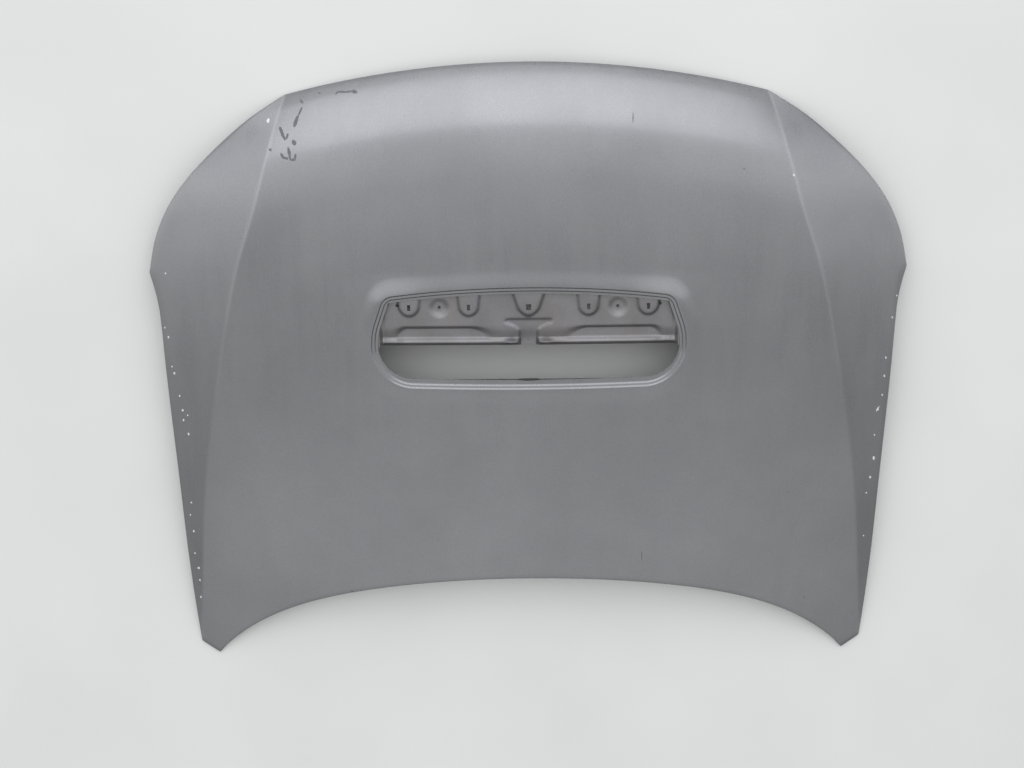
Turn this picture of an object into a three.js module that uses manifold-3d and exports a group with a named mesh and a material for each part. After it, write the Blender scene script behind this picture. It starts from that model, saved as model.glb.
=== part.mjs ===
import * as THREE from 'three';
import { mergeVertices } from 'three/addons/utils/BufferGeometryUtils.js';
import Module from 'manifold-3d';

// Car bonnet, outer side up, nose towards +Y, millimetres.
// Two pressed sheets: an outer skin whose rim is hemmed round the edge of an inner panel.

// Sheets and the gaps between them
const SKIN_T = 1.0;
const INNER_T = 0.9;
const HEM_GAP = 0.9;
const SEAT_GAP = 0.3;
const HEM_RETURN = 9;
const EAR_RETURN = 4;
const EAR_RETURN_FADE = [10, 60];
const FLANGE_WIDTH = 13;
const FLANGE_SETBACK = 1.6;

// Outline seen from above
const FRONT_Y = 596;
const FRONT_RADIUS = 1900;
const CORNER_X = 460;
const REAR_Y = -411;
const ARCH_REFERENCE = 600;
const ARCH_ROUND = 87;
const ARCH_STEEP = 48;
const EAR_NOTCH_X = 636;
const EAR_TIP = [651, -595];
const EAR_OUTER = [685, -570];
const WIDEST = [731, 207];
const CREASE_POINTS = [[669, -400], [643, -200], [604, 0], [558, 200], [509, 346]];
const SIDE_POINTS = [[694, -400], [700, -200], [709, 0], [714.5, 128], [720, 165]];
const LAMP_POINTS = [[715, 272], [687, 330], [644, 386], [588, 442], [524, 497]];

// Crown of the skin
const LENGTH_RADIUS = 4600;
const CROWN_RADIUS = 5000;
const APEX_Y = 165;
const NOSE_LENGTH = 215;
const NOSE_DROP = 78;
const NOSE_POWER = 2.6;
const CREASE_BREAK = 0.16;
const NOSE_FADE = [10, 50];
const EAR_FADE = [10, 150];

// Scoop opening: its rim, and the stepped recess inside the rim
const SCOOP_FRONT_Y = 164;
const SCOOP_FRONT_BOW = 17;
const SCOOP_REAR_Y = -9;
const SCOOP_REAR_BOW = 6;
const SCOOP_FRONT_HALF = 274;
const SCOOP_SIDE = [299, 95];
const SCOOP_REAR_HALF = 302;
const SCOOP_FRONT_CORNER = 22;
const SCOOP_SIDE_CORNER = 120;
const SCOOP_REAR_CORNER = 78;
const STEP_DROP = 2.5;
const STEP_WIDTH = 1.25;
const STEP_SHELF = 5;
const LIP_FRONT = 12;
const LIP_SIDE = 12.5;
const LIP_REAR = 17.5;
const PLINTH_RISE = 1.5;
const PLINTH_PEAK = 5.5;
const PLINTH_SPREAD = 60;
const PLINTH_FOOT = 35;
const PLINTH_HALFWAY_RISE = 0.4;
const SCOOP_MARGIN_FRONT = 19;
const SCOOP_MARGIN_REAR = 15;
const SCOOP_MARGIN_SIDE = 3;

// Inner panel: frame channels, ribs and cut-outs
const FRAME_INSET = 30;
const CHANNEL_DEPTH = 20;
const LAND_DEPTH = 4.8;
const FLANGE_LAND = 12;
const RIB_WALL = 10;
const CENTRE_RIB_HALF = 14;
const CENTRE_LAND = 16;
const RIB_BOTTOM = 16;
const CUTOUT_WIDTH = 110;
const SCOOP_RIB_BOTTOM = 36;
const FRONT_CHANNEL = 116;
const CROSS_RIB_BOTTOM = 14;
const REAR_CHANNEL = 71;
const COLUMN_REFERENCE_Y = 80;

// Duct shelf of the inner panel, seen through the scoop opening
const SHELF_HALF = 318;
const SHELF_FRONT = 205;
const SHELF_REAR = -40;
const SHELF_WALL = 15;
const SHELF_TO_FRONT_RIB = 39;
const SHELF_TO_REAR_RIB = 40;
const DUCT_HALF = 289.5;
const DUCT_FRONT = 68;
const DUCT_REAR = 0.5;
const DUCT_CHAMFER = 35;
const SHELF_RECESS = 7;
const SHELF_STEP = 9;
const SHELF_STEP_Y = 107;
const BEAD_RISE = 7;
const BEAD_Y = [74, 84];
const PAD_CENTRES = [-226.5, -113.5, 0, 113.5, 226.5];
const PAD_HALF = 12.5;
const PAD_WALL = 8;
const PAD_REAR = 131;
const SLOT_WIDTH = 6;
const SLOT_LENGTH = 11;
const SLOT_Y = 143;
const DIMPLE_X = 169.5;
const DIMPLE_Y = 142;
const DIMPLE_RADIUS = 20;
const DIMPLE_DEPTH = 5;
const DIMPLE_HOLE = 3;
const GOBLET_HALF = 40;
const GOBLET_CHANNEL = 13;
const GOBLET_DEPTH = 5;

// Hinge pads with their reinforcements and welded nuts
const HINGE_PAD_COLUMNS = [575, 645];
const HINGE_PAD_START = 14;
const HINGE_PLATE = [40, 42, 2];
const HINGE_BOLT_SPACING = 24;
const HINGE_BOLT = 8;
const NUT_FLATS = 13;
const NUT_HEIGHT = 6.5;

// Striker with its plate, bolts and reinforcement
const STRIKER_PAD_HALF = 42;
const STRIKER_PAD_FRONT = 80;
const STRIKER_PAD_DEPTH = 24;
const STRIKER_PLATE = [56, 32, 2.5];
const STRIKER_BACKING = [58, 32, 1.5];
const STRIKER_ROD = 8;
const STRIKER_LEGS = 22;
const STRIKER_DROP = 44;
const STRIKER_BOLT = 6;
const STRIKER_BOLT_SPACING = 42;
const STRIKER_BOLT_HEAD = [10, 4];
const STRIKER_NUT_HEIGHT = 5;
const BOLT_END = 1;
const SHANK_ROOT = 1;

// Mastic beads between the ribs and the skin
const MASTIC_WIDTH = 9;
const MASTIC_LENGTH = 34;
const MASTIC_GAP = 0.85;

const HOLE_CLEARANCE = 0.5;
const DRILL_LENGTH = 10;

// Points nearer than this are one point
const SAME_POINT = 0.01;
const KEYS_PER_MM = 1e4;
// A sharp fold's mitre grows no further than at this lean
const LEAST_LEAN = 0.68;

const PAINT = { color: 0x7f8184, roughness: 0.38, metalness: 0.75 };
const PRIMER = { color: 0x8a8c8f, roughness: 0.5, metalness: 0.6 };
const ZINC = { color: 0xb4b6b2, roughness: 0.42, metalness: 0.9 };
const MASTIC = { color: 0x2b2b2c, roughness: 0.9, metalness: 0 };

const mix = (a, b, t) => a + (b - a) * t;
const clamp01 = (t) => Math.min(1, Math.max(0, t));
const ramp = (value, from, to) => clamp01((value - from) / (to - from));
const last = (list) => list[list.length - 1];

// Smooth curve x(y) through a few points given as [x, y], with rising y
function curveThrough(points) {
  const slopes = points.map((point, i) => {
    const before = points[Math.max(0, i - 1)];
    const after = points[Math.min(points.length - 1, i + 1)];
    return (after[0] - before[0]) / (after[1] - before[1]);
  });
  return (y) => {
    let i = 0;
    while (i < points.length - 2 && y > points[i + 1][1]) i += 1;
    const [xa, ya] = points[i];
    const [xb, yb] = points[i + 1];
    const span = yb - ya;
    const t = clamp01((y - ya) / span);
    const rise = t * t * (3 - 2 * t);
    const leave = span * slopes[i] * t * (1 - t) ** 2;
    const arrive = span * slopes[i + 1] * t * t * (1 - t);
    return mix(xa, xb, rise) + leave - arrive;
  };
}

// Outline curves
const frontEdge = (x) => FRONT_Y - FRONT_RADIUS + Math.sqrt(FRONT_RADIUS ** 2 - x ** 2);
const CORNER = [CORNER_X, frontEdge(CORNER_X)];
const crease = curveThrough([EAR_OUTER, ...CREASE_POINTS, CORNER]);
const sideEdge = curveThrough([EAR_OUTER, ...SIDE_POINTS, WIDEST]);
const lampEdge = curveThrough([WIDEST, ...LAMP_POINTS, CORNER]);
const flank = (y) => (y <= WIDEST[1] ? sideEdge(y) : lampEdge(y));

function archEdge(x) {
  const share = x / ARCH_REFERENCE;
  return REAR_Y - ARCH_ROUND * share ** 2 - ARCH_STEEP * share ** 6;
}

function rearEdge(x) {
  const reach = Math.abs(x);
  if (reach <= EAR_NOTCH_X) return archEdge(reach);
  if (reach <= EAR_TIP[0]) {
    return mix(archEdge(EAR_NOTCH_X), EAR_TIP[1], ramp(reach, EAR_NOTCH_X, EAR_TIP[0]));
  }
  return mix(EAR_TIP[1], EAR_OUTER[1], ramp(reach, EAR_TIP[0], EAR_OUTER[0]));
}

// Height of the skin over the plan, level where nose corners and ear tips meet the floor
function crown(x, y) {
  const reach = Math.abs(x);
  const onCrease = crease(y);
  const inside = Math.min(reach, onCrease);
  const lengthways = (y - APEX_Y) ** 2 / (2 * LENGTH_RADIUS);
  const across = inside ** 2 / (2 * CROWN_RADIUS);
  const intoNose = Math.max(0, y - frontEdge(Math.min(reach, CORNER_X)) + NOSE_LENGTH);
  const nose = NOSE_DROP * (intoNose / NOSE_LENGTH) ** NOSE_POWER;
  const nearFront = ramp(CORNER[1] - y, ...NOSE_FADE);
  const nearEar = ramp(y - EAR_OUTER[1], ...EAR_FADE);
  const sideSlope = onCrease / CROWN_RADIUS + CREASE_BREAK * Math.min(nearFront, nearEar);
  return -lengthways - across - nose - (reach - inside) * sideSlope;
}
const PITCH = (crown(...CORNER) - crown(...EAR_TIP)) / (CORNER[1] - EAR_TIP[1]);
const surface = (x, y) => crown(x, y) - crown(...CORNER) - PITCH * (y - CORNER[1]);

function normal(x, y, step) {
  const dx = (surface(x + step, y) - surface(x - step, y)) / (2 * step);
  const dy = (surface(x, y + step) - surface(x, y - step)) / (2 * step);
  return new THREE.Vector3(-dx, -dy, 1).normalize();
}
const EDGE_STEP = 1.5;
const PANEL_STEP = 20;

// Point at a depth below the skin's upper face
function below(x, y, depth, step = PANEL_STEP) {
  const up = normal(x, y, step);
  return new THREE.Vector3(x, y, surface(x, y)).addScaledVector(up, -depth);
}

// Sheet metal as a net of triangles on its upper face, given a thickness at the end
class Sheet {
  constructor() {
    this.points = [];
    this.faces = [];
    this.known = new Map();
    this.pads = new Map();
  }

  at(point) {
    const key = point.toArray().map((v) => Math.round(v * KEYS_PER_MM)).join();
    if (!this.known.has(key)) {
      this.known.set(key, this.points.length);
      this.points.push(point);
    }
    return this.known.get(key);
  }

  tri(a, b, c) {
    if (a !== b && b !== c && c !== a) this.faces.push([a, b, c]);
  }

  quad(a, b, c, d) {
    this.tri(a, b, c);
    this.tri(a, c, d);
  }

  // Closed band between two loops with the same number of points, the first one outside
  band(outer, inner) {
    outer.forEach((point, i) => {
      const j = (i + 1) % outer.length;
      this.quad(point, outer[j], inner[j], inner[i]);
    });
  }

  // Closed band between two loops with different numbers of points
  stitch(outer, innerLoop) {
    const gap = (a, b) => this.points[a].distanceTo(this.points[b]);
    const nearest = innerLoop.reduce((best, p, i) => (
      gap(outer[0], p) < gap(outer[0], innerLoop[best]) ? i : best), 0);
    const inner = [...innerLoop.slice(nearest), ...innerLoop.slice(0, nearest)];
    let i = 0;
    let j = 0;
    while (i < outer.length || j < inner.length) {
      const a = outer[i % outer.length];
      const b = inner[j % inner.length];
      const nextA = outer[(i + 1) % outer.length];
      const nextB = inner[(j + 1) % inner.length];
      const moveOuter = j >= inner.length
        || (i < outer.length && gap(nextA, b) <= gap(a, nextB));
      if (moveOuter) {
        this.tri(a, nextA, b);
        i += 1;
      } else {
        this.tri(a, nextB, b);
        j += 1;
      }
    }
  }

  // Grid of points by rows and columns; skips the cells that the test names
  grid(rows, isOpen) {
    for (let r = 0; r < rows.length - 1; r += 1) {
      for (let c = 0; c < rows[r].length - 1; c += 1) {
        if (!isOpen(r, c)) {
          this.quad(rows[r][c], rows[r][c + 1], rows[r + 1][c + 1], rows[r + 1][c]);
        }
      }
    }
  }

  solid(thickness) {
    const faceNormals = this.faces.map((face) => {
      const [a, b, c] = face.map((i) => this.points[i]);
      return b.clone().sub(a).cross(c.clone().sub(a)).normalize();
    });
    const around = this.points.map(() => []);
    this.faces.forEach((face, f) => {
      face.forEach((i, k) => {
        const here = this.points[i];
        const toNext = this.points[face[(k + 1) % 3]].clone().sub(here);
        const toPrevious = this.points[face[(k + 2) % 3]].clone().sub(here);
        around[i].push([faceNormals[f], toNext.angleTo(toPrevious)]);
      });
    });
    const under = this.points.map((point, i) => {
      if (this.pads.has(i)) return point.clone().addScaledVector(this.pads.get(i), -thickness);
      const mean = new THREE.Vector3();
      around[i].forEach(([direction, angle]) => mean.addScaledVector(direction, angle));
      mean.normalize();
      const lean = Math.min(...around[i].map(([direction]) => direction.dot(mean)));
      return point.clone().addScaledVector(mean, -thickness / Math.max(LEAST_LEAN, lean));
    });
    const count = this.points.length;
    const edges = new Set(this.faces.flatMap(([a, b, c]) => [`${a}_${b}`, `${b}_${c}`, `${c}_${a}`]));
    const index = [];
    this.faces.forEach(([a, b, c]) => {
      index.push(a, b, c, count + a, count + c, count + b);
    });
    edges.forEach((edge) => {
      const [a, b] = edge.split('_').map(Number);
      if (!edges.has(`${b}_${a}`)) index.push(b, a, count + a, b, count + a, count + b);
    });
    const geometry = new THREE.BufferGeometry();
    const flat = [...this.points, ...under].flatMap((point) => point.toArray());
    geometry.setAttribute('position', new THREE.Float32BufferAttribute(flat, 3));
    geometry.setIndex(index);
    return geometry;
  }
}

// Loop of a grid's border, anticlockwise seen from above, rows going to +Y
function borderOf(rows, r0, r1, c0, c1) {
  const loop = [];
  for (let c = c0; c < c1; c += 1) loop.push(rows[r0][c]);
  for (let r = r0; r < r1; r += 1) loop.push(rows[r][c1]);
  for (let c = c1; c > c0; c -= 1) loop.push(rows[r1][c]);
  for (let r = r1; r > r0; r -= 1) loop.push(rows[r][c0]);
  return loop.filter((point, i) => point !== loop[(i + 1) % loop.length]);
}

// Outward directions in plan along a closed anticlockwise loop of plan points
function outwards(loop) {
  return loop.map((point, i) => {
    const before = loop[(i + loop.length - 1) % loop.length];
    const after = loop[(i + 1) % loop.length];
    return new THREE.Vector2(after.y - before.y, before.x - after.x).normalize();
  });
}

// Skin net: columns run from -2 to 2 with the creases at -1 and 1; a row is a share of the
// length from the rear edge to the nose plus a shift
const plinthFront = SCOOP_FRONT_Y + SCOOP_FRONT_BOW + PLINTH_FOOT;
const plinthRear = SCOOP_REAR_Y - SCOOP_REAR_BOW - PLINTH_FOOT;
const SCOOP_COLUMN = (SCOOP_REAR_HALF + PLINTH_FOOT + SCOOP_MARGIN_SIDE) / crease(plinthFront);
const SKIN_HALF_COLUMNS = [
  0, 0.1, 0.2, 0.3, 0.4, 0.5, SCOOP_COLUMN, 0.7, 0.78, 0.86,
  EAR_NOTCH_X / EAR_OUTER[0], EAR_TIP[0] / EAR_OUTER[0], 0.975, 1, 1.5, 2,
];
const SKIN_COLUMNS = [...SKIN_HALF_COLUMNS.slice(1).reverse().map((c) => -c), ...SKIN_HALF_COLUMNS];
const widestShare = (WIDEST[1] - EAR_OUTER[1]) / (CORNER[1] - EAR_OUTER[1]);
const REAR_CREASE = 28;
const SCOOP_ROW_STEPS = 4;
const shareOf = (y) => (y - REAR_Y) / (FRONT_Y - REAR_Y);
const SCOOP_ROWS = Array.from({ length: SCOOP_ROW_STEPS + 1 }, (_, k) => mix(
  shareOf(plinthRear - SCOOP_MARGIN_REAR), shareOf(plinthFront + SCOOP_MARGIN_FRONT), k / SCOOP_ROW_STEPS));
const NOSE_ROWS = [-185, -145, -110, -80, -55, -35, -20, -8, 0];
const SKIN_ROWS = [
  [0, 0], [0, REAR_CREASE], ...[0.07, 0.12, 0.19, 0.265].map((share) => [share, 0]),
  ...SCOOP_ROWS.map((share) => [share, 0]), [widestShare, 0], [0.76, 0],
  ...NOSE_ROWS.map((shift) => [1, shift]),
];

function skinPlan(column, [share, shift]) {
  const onCrease = mix(EAR_OUTER[1], CORNER[1], share) + shift;
  const reach = Math.abs(column);
  if (reach > 1) {
    const x = mix(crease(onCrease), flank(onCrease), reach - 1);
    return new THREE.Vector2(Math.sign(column) * x, onCrease);
  }
  const rear = rearEdge(column * EAR_OUTER[0]);
  const front = frontEdge(column * CORNER[0]);
  return new THREE.Vector2(column * crease(onCrease), mix(rear, front, share) + shift);
}

const FOLD_RADIUS = SKIN_T + HEM_GAP + INNER_T / 2;

// Plan of the outline, shared by the hem and by the flange that it grips
function outlineLoop() {
  const rows = SKIN_ROWS.map((row) => SKIN_COLUMNS.map((column) => skinPlan(column, row)));
  const loop = borderOf(rows, 0, rows.length - 1, 0, SKIN_COLUMNS.length - 1);
  return loop.filter((point, i) => point.distanceTo(loop[(i + 1) % loop.length]) > SAME_POINT);
}
const OUTLINE = outlineLoop();
const OUTLINE_OUT = outwards(OUTLINE);

// Inset outline at a depth under the skin; beyond the edge for a negative inset
function outlineRing(inset, depth) {
  return OUTLINE.map((edge, i) => {
    const plan = edge.clone().addScaledVector(OUTLINE_OUT[i], -inset(edge));
    return below(plan.x, plan.y, depth, EDGE_STEP);
  });
}

// Rim of the scoop opening as plan points, anticlockwise from the front left corner
function roundedCorner(before, corner, after, radius, steps) {
  const back = before.clone().sub(corner).normalize();
  const ahead = after.clone().sub(corner).normalize();
  const half = back.angleTo(ahead) / 2;
  const middle = back.clone().add(ahead).normalize().multiplyScalar(radius / Math.sin(half));
  const centre = corner.clone().add(middle);
  const start = corner.clone().addScaledVector(back, radius / Math.tan(half)).sub(centre);
  const turn = Math.PI - 2 * half;
  return Array.from({ length: steps + 1 }, (_, k) => (
    start.clone().rotateAround(new THREE.Vector2(), (turn * k) / steps).add(centre)));
}

function scoopRim() {
  const v = (x, y) => new THREE.Vector2(x, y);
  const corners = [
    [v(-SCOOP_REAR_HALF, SCOOP_REAR_Y), SCOOP_REAR_CORNER, 7],
    [v(SCOOP_REAR_HALF, SCOOP_REAR_Y), SCOOP_REAR_CORNER, 7],
    [v(...SCOOP_SIDE), SCOOP_SIDE_CORNER, 2],
    [v(SCOOP_FRONT_HALF, SCOOP_FRONT_Y), SCOOP_FRONT_CORNER, 5],
    [v(-SCOOP_FRONT_HALF, SCOOP_FRONT_Y), SCOOP_FRONT_CORNER, 5],
    [v(-SCOOP_SIDE[0], SCOOP_SIDE[1]), SCOOP_SIDE_CORNER, 2],
  ];
  const straightSteps = [10, 1, 1, 12, 1, 1];
  const rim = [];
  corners.forEach(([corner, radius, steps], i) => {
    const before = corners[(i + 5) % 6][0];
    const after = corners[(i + 1) % 6][0];
    rim.push(...roundedCorner(before, corner, after, radius, steps));
    const [next, nextRadius, nextSteps] = corners[(i + 1) % 6];
    const beyond = corners[(i + 2) % 6][0];
    const end = roundedCorner(corner, next, beyond, nextRadius, nextSteps)[0];
    const start = last(rim);
    for (let k = 1; k < straightSteps[i]; k += 1) {
      rim.push(start.clone().lerp(end, k / straightSteps[i]));
    }
  });
  const middle = (SCOOP_FRONT_Y + SCOOP_REAR_Y) / 2;
  return rim.map((point) => {
    const frontBow = SCOOP_FRONT_BOW * Math.max(0, 1 - (point.x / SCOOP_FRONT_HALF) ** 2);
    const rearBow = SCOOP_REAR_BOW * Math.max(0, 1 - (point.x / SCOOP_REAR_HALF) ** 2);
    const side = point.y > middle ? frontBow : -rearBow;
    return v(point.x, point.y + side * Math.min(1, Math.abs(point.y - middle) / (SCOOP_FRONT_Y - middle)));
  });
}

// Soft rise of the skin round the opening, highest at its front corners
function plinth(x, y) {
  const aside = (Math.abs(x) - SCOOP_FRONT_HALF) / PLINTH_SPREAD;
  const ahead = (y - SCOOP_FRONT_Y) / PLINTH_SPREAD;
  return PLINTH_RISE + PLINTH_PEAK * Math.exp(-(aside * aside + ahead * ahead));
}

function lipWidth(out) {
  return mix(LIP_SIDE, out.y > 0 ? LIP_FRONT : LIP_REAR, Math.abs(out.y) ** 2);
}

function outerSkin() {
  const sheet = new Sheet();
  const rows = SKIN_ROWS.map((row) => SKIN_COLUMNS.map((column) => {
    const plan = skinPlan(column, row);
    return sheet.at(new THREE.Vector3(plan.x, plan.y, surface(plan.x, plan.y)));
  }));
  const r0 = SKIN_ROWS.findIndex(([share]) => share === SCOOP_ROWS[0]);
  const r1 = r0 + SCOOP_ROWS.length - 1;
  const c0 = SKIN_COLUMNS.indexOf(-SCOOP_COLUMN);
  const c1 = SKIN_COLUMNS.indexOf(SCOOP_COLUMN);
  sheet.grid(rows, (r, c) => r >= r0 && r < r1 && c >= c0 && c < c1);

  const rim = scoopRim();
  const out = outwards(rim);
  const ring = (offset, rise, drop) => rim.map((point, i) => {
    const plan = point.clone().addScaledVector(out[i], offset(out[i]));
    const z = surface(plan.x, plan.y) + plinth(point.x, point.y) * rise - drop;
    return sheet.at(new THREE.Vector3(plan.x, plan.y, z));
  });
  const inward = STEP_WIDTH + STEP_SHELF;
  const rings = [
    ring(() => PLINTH_FOOT, 0, 0),
    ring(() => PLINTH_FOOT / 2, PLINTH_HALFWAY_RISE, 0),
    ring(() => 0, 1, 0),
    ring(() => -STEP_WIDTH, 1, STEP_DROP),
    ring(() => -inward, 1, STEP_DROP),
    ring(() => -inward - STEP_WIDTH, 1, 2 * STEP_DROP),
    ring((direction) => -lipWidth(direction), 1, 2 * STEP_DROP),
  ];
  sheet.stitch(borderOf(rows, r0, r1, c0, c1), rings[0]);
  for (let k = 0; k < rings.length - 1; k += 1) sheet.band(rings[k], rings[k + 1]);

  const addRing = (points) => points.map((point) => sheet.at(point));
  const edge = addRing(outlineRing(() => 0, 0));
  const crest = OUTLINE.map((plan, i) => {
    const up = normal(plan.x, plan.y, EDGE_STEP);
    const side = new THREE.Vector3(OUTLINE_OUT[i].x, OUTLINE_OUT[i].y, 0);
    side.addScaledVector(up, -side.dot(up)).normalize();
    return below(plan.x, plan.y, FOLD_RADIUS, EDGE_STEP).addScaledVector(side, FOLD_RADIUS);
  });
  const hemReturn = (plan) => (
    mix(EAR_RETURN, HEM_RETURN, ramp(plan.y - EAR_OUTER[1], ...EAR_RETURN_FADE)));
  const fold = addRing(crest);
  const turned = addRing(outlineRing(() => 0, 2 * FOLD_RADIUS));
  const tail = addRing(outlineRing(hemReturn, 2 * FOLD_RADIUS));
  sheet.band(fold, edge);
  sheet.band(turned, fold);
  sheet.band(tail, turned);
  return sheet.solid(SKIN_T);
}

// Inner panel net: a column is a place in mm across the panel at a reference row, and each
// line is either low, on a channel's floor, or high, on a land under the skin
const slopeOf = (edge, at) => edge(at + 1) - edge(at - 1);
const insetFactor = (edge, at) => Math.sqrt(1 + (slopeOf(edge, at) / 2) ** 2);
const frameSide = (y) => flank(y) - FRAME_INSET * insetFactor(flank, y);
const frameFront = (x) => frontEdge(x) - FRAME_INSET * insetFactor(frontEdge, x);
const frameRear = (x) => archEdge(Math.abs(x)) + FRAME_INSET * insetFactor(archEdge, Math.abs(x));

function settle(guess, front) {
  let y = guess;
  for (let k = 0; k < 12; k += 1) y = front(frameSide(y));
  return y;
}
const FRAME_FRONT_Y = settle(CORNER[1] - FRAME_INSET, frameFront);
const FRAME_REAR_Y = settle(EAR_OUTER[1] + FRAME_INSET, frameRear);

// Walks along a line of channels, lands and bays; a bay's lines carry the mark that opens it
function layout(start, steps) {
  const lines = [{ at: start, low: steps[0].low, opens: false }];
  steps.slice(1).forEach(({ width, low, opens, mark }) => {
    lines.push({ at: last(lines).at + width, low, opens: Boolean(opens), mark });
  });
  return lines;
}
const wallUp = { width: RIB_WALL, low: false };
const wallDown = { width: RIB_WALL, low: true };
const land = { width: FLANGE_LAND, low: false, mark: 'land' };
const bay = (width) => ({ width, low: false, opens: true });
const longBay = (width) => [{ ...bay(width / 2), mark: 'bay middle' }, bay(width / 2)];
const floorOf = (width) => ({ width, low: true });
const crossRib = { ...floorOf(CROSS_RIB_BOTTOM), mark: 'cross rib' };

const HALF_COLUMNS = layout(0, [
  { low: true }, floorOf(CENTRE_RIB_HALF), wallUp, { width: CENTRE_LAND, low: false },
  bay(CUTOUT_WIDTH), land, wallDown, floorOf(RIB_BOTTOM), wallUp, land,
  bay(CUTOUT_WIDTH), land, wallDown, floorOf(SCOOP_RIB_BOTTOM), wallUp, land,
  bay(CUTOUT_WIDTH), land, wallDown,
]);
const LANDS = HALF_COLUMNS.flatMap((line, i) => (
  line.mark === 'land' ? [(line.at + HALF_COLUMNS[i - 1].at) / 2] : []));
const SCOOP_BLOCK = HALF_COLUMNS.findIndex((line, i) => (
  i > 3 && line.at - HALF_COLUMNS[i - 1].at === SCOOP_RIB_BOTTOM));
const PANEL_HALF = frameSide(COLUMN_REFERENCE_Y);
HALF_COLUMNS.push(
  ...HINGE_PAD_COLUMNS.map((at) => ({ at, low: true, opens: false })),
  { at: PANEL_HALF, low: true, opens: false },
);
const PANEL_COLUMNS = [
  ...HALF_COLUMNS.slice(1).reverse().map((line) => ({ ...line, at: -line.at })),
  ...HALF_COLUMNS,
];

// Rows from the rear frame to the nose; a bay opens from its mark back to the row before. The
// cross ribs keep their distance from the shelf, and the bays take the length that is left
const frameLength = frameFront(0) - frameRear(0);
const total = (steps) => steps.reduce((sum, { width = 0 }) => sum + width, 0);
const noseRows = [
  { low: true }, floorOf(STRIKER_PAD_FRONT), floorOf(FRONT_CHANNEL - STRIKER_PAD_FRONT), wallUp, land,
];
const bayToRib = [land, wallDown, crossRib];
const ribToBay = [wallUp, land];
const rearRows = [land, wallDown];
const frontRibAt = frameFront(0) - SHELF_FRONT - SHELF_TO_FRONT_RIB;
const rearRibAt = frameFront(0) - SHELF_REAR + SHELF_TO_REAR_RIB;
const frontBay = frontRibAt - total([...noseRows, ...bayToRib]);
const sideBay = rearRibAt - frontRibAt - total([...ribToBay, ...bayToRib]);
const rearBay = frameLength - REAR_CHANNEL - rearRibAt - total([...ribToBay, ...rearRows]);
const fromFront = layout(0, [
  ...noseRows, ...longBay(frontBay), ...bayToRib,
  ...ribToBay, ...longBay(sideBay), ...bayToRib,
  ...ribToBay, ...longBay(rearBay), ...rearRows,
]);
const marked = (mark) => fromFront.flatMap((line, i) => (line.mark === mark ? [i] : []));
const [SCOOP_TOP, SCOOP_BOTTOM] = marked('cross rib');
const BAY_MIDDLES = marked('bay middle');
const REAR_SHIFTS = [0, HINGE_PAD_START];
const PANEL_ROWS = [
  ...REAR_SHIFTS.map((shift) => ({ share: 0, shift, low: true, opens: false })),
  ...fromFront.map((line, i) => {
    const behind = i >= fromFront.length - rearRows.length;
    const ahead = i <= BAY_MIDDLES[0];
    const share = behind ? 0 : 1 - line.at / frameLength;
    return {
      share: ahead ? 1 : share,
      shift: (ahead ? -line.at : 0) + (behind ? frameLength - line.at : 0),
      low: line.low,
      opens: line.opens,
    };
  }).reverse(),
];
const rowFromFront = (i) => PANEL_ROWS.length - 1 - i;

function panelPlan(at, { share, shift }) {
  const onSide = mix(FRAME_REAR_Y, FRAME_FRONT_Y, share) + shift;
  const column = at / PANEL_HALF;
  const rear = frameRear(column * frameSide(FRAME_REAR_Y));
  const front = frameFront(column * frameSide(FRAME_FRONT_Y));
  return new THREE.Vector2(column * frameSide(onSide), mix(rear, front, share) + shift);
}

// Channels get shallow towards the nose corners and ears, so that the hem meets the floor first
function channelDepth({ x, y }) {
  return Math.max(LAND_DEPTH, Math.min(CHANNEL_DEPTH, surface(x, y)));
}

// Flat pad pressed into the panel, at a depth straight under a plan point
function flatPad(middle, up, depth) {
  const centre = new THREE.Vector3(middle.x, middle.y, surface(middle.x, middle.y) - depth);
  return {
    centre,
    up,
    drop: (plan) => {
      const slide = up.x * (plan.x - centre.x) + up.y * (plan.y - centre.y);
      return new THREE.Vector3(plan.x, plan.y, centre.z - slide / up.z);
    },
  };
}

const HINGE_ROWS = PANEL_ROWS.filter((row) => row.share === 0 && row.shift >= HINGE_PAD_START);

function hingePad(side) {
  const corners = HINGE_PAD_COLUMNS.flatMap((at) => (
    [HINGE_ROWS[0], last(HINGE_ROWS)].map((row) => panelPlan(side * at, row))));
  const middle = corners.reduce((sum, plan) => sum.add(plan), new THREE.Vector2()).divideScalar(4);
  return flatPad(middle, normal(middle.x, middle.y, PANEL_STEP), channelDepth(middle));
}
const HINGE_PADS = { left: hingePad(-1), right: hingePad(1) };

// The first two rows behind the nose bound the striker's pad
const STRIKER_ROWS = [1, 2].map((i) => PANEL_ROWS[rowFromFront(i)]);
const STRIKER_Y = frameFront(0) - (STRIKER_PAD_FRONT + FRONT_CHANNEL) / 2;
const STRIKER_SEAT = flatPad({ x: 0, y: STRIKER_Y }, new THREE.Vector3(0, 0, 1), STRIKER_PAD_DEPTH);

function padUnder(line, row) {
  const reach = Math.abs(line.at);
  if (STRIKER_ROWS.includes(row) && reach <= STRIKER_PAD_HALF) return STRIKER_SEAT;
  if (HINGE_ROWS.includes(row) && HINGE_PAD_COLUMNS.includes(reach)) {
    return line.at < 0 ? HINGE_PADS.left : HINGE_PADS.right;
  }
  return null;
}

// Depth of the duct shelf under the rim's level
const DUCT_LAND = 2 * STEP_DROP + SKIN_T + HEM_GAP;

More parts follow.
